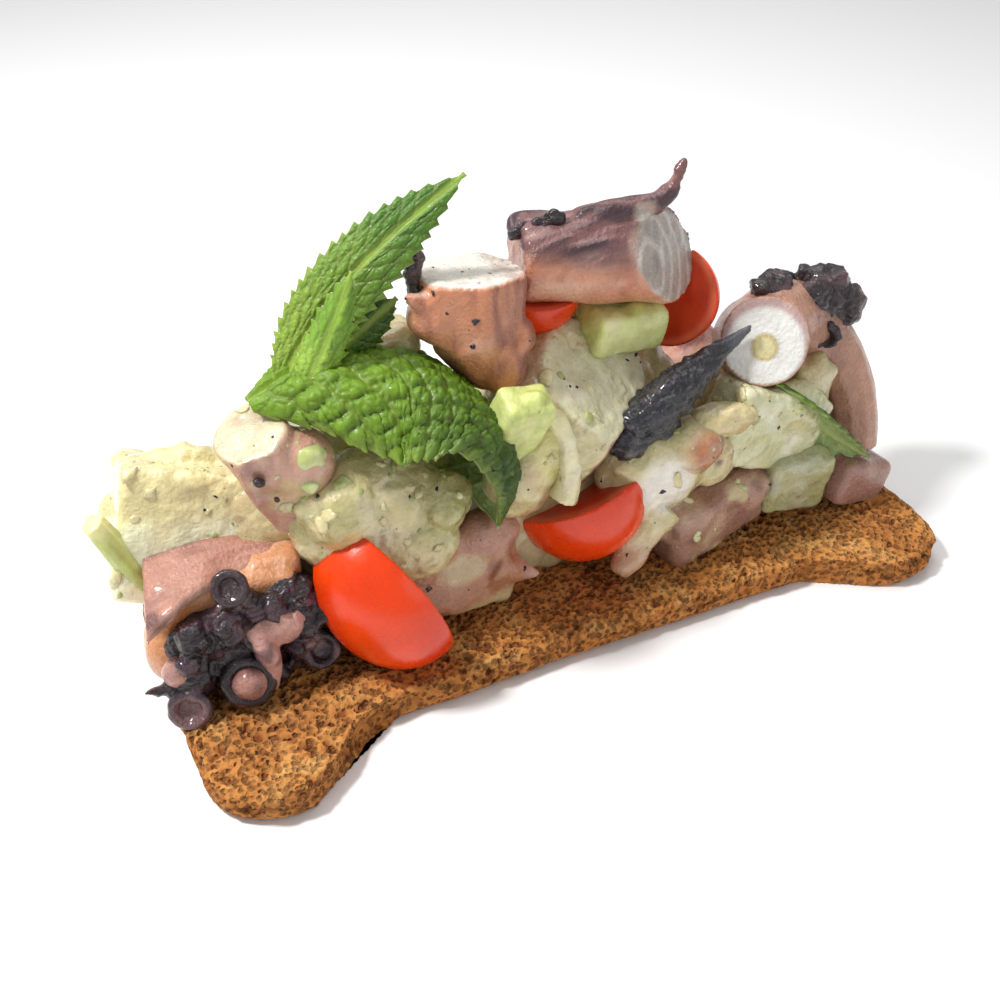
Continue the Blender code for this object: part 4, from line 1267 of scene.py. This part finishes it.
def make_celery_stick():
    """A short ribbed stick with cut ends, leaning on the potato."""
    piece = grown("celery_stick_left", [plug((-65.0, 1.2, 30.6), (-60.2, 0.2, 19.4), 1.9, 2.3, 10, 0.8)],
                  0.28, 2)
    p = points_of(piece)
    rib = waves(p @ np.array([[1, 0, 0.05], [0, 1, 0], [0.43, 0, 0.05]]), 0.9, 4)
    swell(piece, 0.28 * rib)
    colours = blend(plain(piece, "d5dc8a"), "b4c058", ramp(rib, 0, 0.6) * 0.6)
    colours = blend(colours, "ebe9a6", ramp(p[:, 2], 28, 30.5))
    tint(piece, colours, 0.7)
    finish(piece, celery_cut, "celery", "celery_left")


make_celery_stick()

# ------------------------------------------------------------------------------- dressing and dark specks


def scattered(name, slot, surface, code, count, small, large, seed, hosts):
    """Many small flattened drops lying on the pieces named, joined into one."""
    rng = np.random.default_rng(seed)
    pool = [(points_of(bpy.data.objects[host]), normals_of(bpy.data.objects[host])) for host in hosts]
    points = np.concatenate([p for p, _ in pool])
    ways = np.concatenate([n for _, n in pool])
    open_side = (ways @ np.array([-0.2, -0.5, 0.8]) > 0.45) & (points[:, 2] > 8)
    points, ways = points[open_side], ways[open_side]
    bead = bmesh.new()
    bmesh.ops.create_icosphere(bead, subdivisions=2, radius=0.5)
    shape = np.array([v.co[:] for v in bead.verts])
    faces = np.array([[v.index for v in f.verts] for f in bead.faces])
    bead.free()
    all_points, all_faces = [], []
    for k, pick in enumerate(rng.integers(0, len(points), count)):
        size = small + (large - small) * rng.random() ** 2.5
        stretch = np.array([1, rng.uniform(0.5, 1), 0.3]) * size
        turn = (Vector(ways[pick]).to_track_quat("Z", "Y").to_matrix()
                @ Euler((0, 0, rng.uniform(0, 6.3))).to_matrix())
        bumpy = shape * (1 + 0.18 * np.sin(shape[:, [1]] * 9 + k) + 0.14 * np.sin(shape[:, [0]] * 11 + 2 * k))
        all_points.append(bumpy * stretch @ np.array(turn).T + points[pick])
        all_faces.append(faces + len(shape) * k)
    piece = fill_points(name, np.concatenate(all_points), np.concatenate(all_faces))
    piece.data.shade_smooth()
    tint(piece, plain(piece, code), 0.8)
    finish(piece, surface, slot)


COATED = ["potato_left_block", "potato_middle_lump", "octopus_middle_section", "octopus_right_chunk",
          "celery_slab_right", "octopus_left_section", "octopus_right_piece"]
scattered("dressing_drops", "dressed_salad", dressed, "dccf9c", 130, 0.5, 2.8, 3, COATED)
scattered("celery_crumbs", "celery", celery_cut, "b4b878", 30, 0.6, 2.4, 5, COATED)
scattered("skin_specks", "octopus_dark", octopus_membrane, "33242a", 80, 0.25, 1.1, 7,
          COATED + ["octopus_top_section", "octopus_front_piece"])

# -------------------------------------------------------------------------------------- inside and back


def make_core():
    """The dressed heap that fills the middle, with its lumps showing at the back."""
    parts = [ball((-1, 3, 15), (100, 22, 27), (0, 0, -2), 24), ball((-30, 4, 22), (40, 20, 24)),
             ball((5, 4, 26), (40, 18, 28)), ball((35, 3, 18), (30, 18, 24))]
    piece = grown("salad_core", parts, 0.7, 3)
    p = points_of(piece)
    near, _ = cells(p, 8, 2)
    swell(piece, 2.2 * (0.6 - near) + 0.8 * waves(p, 5, 3, 2))
    p = points_of(piece)
    p[:, 2] = np.maximum(p[:, 2], 4.8)
    move_points(piece, p)
    tint(piece, dressed_colours(piece, 16, green=0.7, tan=0.5), 0.65)
    finish(piece, dressed, "dressed_salad", "dressed_salad")


make_core()


def make_chunk(name, slot, start, end, wide, seed, skin="c08a74", dark="7c4f4c"):
    """A piece of arm lying in the dressing at the back, with a white cut face at its start."""
    way = np.array(Vector(start) - Vector(end))
    way = way / np.linalg.norm(way)
    at = np.array(start) - way * 1.2
    piece = carved(name, [plug(start, end, wide, wide * 0.92, 24, 0.9)], [(at, way)], 0.45, 4)
    p = points_of(piece)
    swell(piece, 0.5 * waves(p, 5, seed, 2) + 0.2 * waves(p, 1.6, seed + 1))
    p, n = points_of(piece), normals_of(piece)
    cut = on_cut(p, n, at, way, 1.0)
    away = np.linalg.norm(p - at, axis=1)
    colours = blend(plain(piece, skin), dark, ramp(waves(p, 3.5, seed + 2, 2), -0.05, 0.5) * 0.8)
    colours = blend(colours, "e3dcd0", cut)
    colours = blend(colours, "b08c80", cut * ramp(away, wide * 0.78, wide * 0.95) * 0.8)
    colours = blend(colours, "c4b8a6", cut * (1 - ramp(away, 0.8, 2.0)) * 0.7)
    colours = blend(colours, DRESSING, ramp(waves(p, 4, seed + 5, 2), 0.15, 0.5) * 0.7 * (1 - cut))
    tint(piece, colours, 0.7)
    finish(piece, octopus_skin, slot)


make_lump("potato_behind_left", None, "dressed_salad", (-33, 12, 24), (19, 11, 16), (8, 10, 6), 51)
make_lump("potato_behind_right", None, "dressed_salad", (41, 10.5, 15), (16, 10, 12), (0, -12, -6), 53)
make_lump("potato_behind_top", None, "dressed_salad", (10, 11.5, 30), (14, 8, 11), (10, -14, 0), 55)
make_lump("celery_behind_left", None, "celery", (-19, 13.5, 30), (13, 7, 7), (0, 24, 8), 57, celery_cut,
          colours=celery_colours(57), relief=0.25)
make_lump("celery_behind_low", None, "celery", (23, 14.5, 11), (11, 6.5, 7), (12, -20, -4), 59, celery_cut,
          colours=celery_colours(59), relief=0.25)
make_lump("onion_behind_low", None, "onion", (-24, 14.5, 14), (12, 6, 4.5), (0, -14, 10), 61, squared=False)
make_chunk("octopus_behind_middle", "octopus_white", (-4, 19, 19), (-9, 9, 17), 7.2, 63)
make_chunk("octopus_behind_right", "octopus_pink", (33, 16.5, 27), (28, 5, 22), 6.4, 65, "b98573", "6c4245")
make_chunk("octopus_behind_left", "octopus_pink", (-47, 15.5, 13), (-36, 9, 12), 6.2, 67, "b5806f", "5a3a40")
make_chunk("octopus_behind_low", "octopus_dark", (10, 16.5, 11.5), (19, 8, 13), 5.0, 69, "9c6a62", "3f2a31")
make_tomato("tomato_quarter_behind", None, (15, 15, 21.5), (19, 14, 9), (0.86, 0.1, -0.5), (0.1, 0.9, 0.4),
            0.5)
make_tomato("tomato_piece_behind", None, (-36, 16, 9.5), (15, 11, 7), (0.95, 0.1, 0.3), (-0.1, 0.95, 0.3),
            0.6)

# ------------------------------------------------------------------------------------------------ stage

deselect()
bpy.ops.mesh.primitive_plane_add(size=40, location=(0, 0, -0.0001))
floor = bpy.context.object
floor.name = "floor"
table = Surface("floor, white matte board", Roughness=0.9)
table.shader.inputs["Base Color"].default_value = (0.96, 0.96, 0.96, 1)
floor.data.materials.append(table.material)

world = bpy.data.worlds.new("studio")
bpy.context.scene.world = world
world.use_nodes = True
world.node_tree.nodes["Background"].inputs["Color"].default_value = (1, 1, 1, 1)
world.node_tree.nodes["Background"].inputs["Strength"].default_value = 0.42
bpy.context.scene.view_settings.view_transform = "Standard"
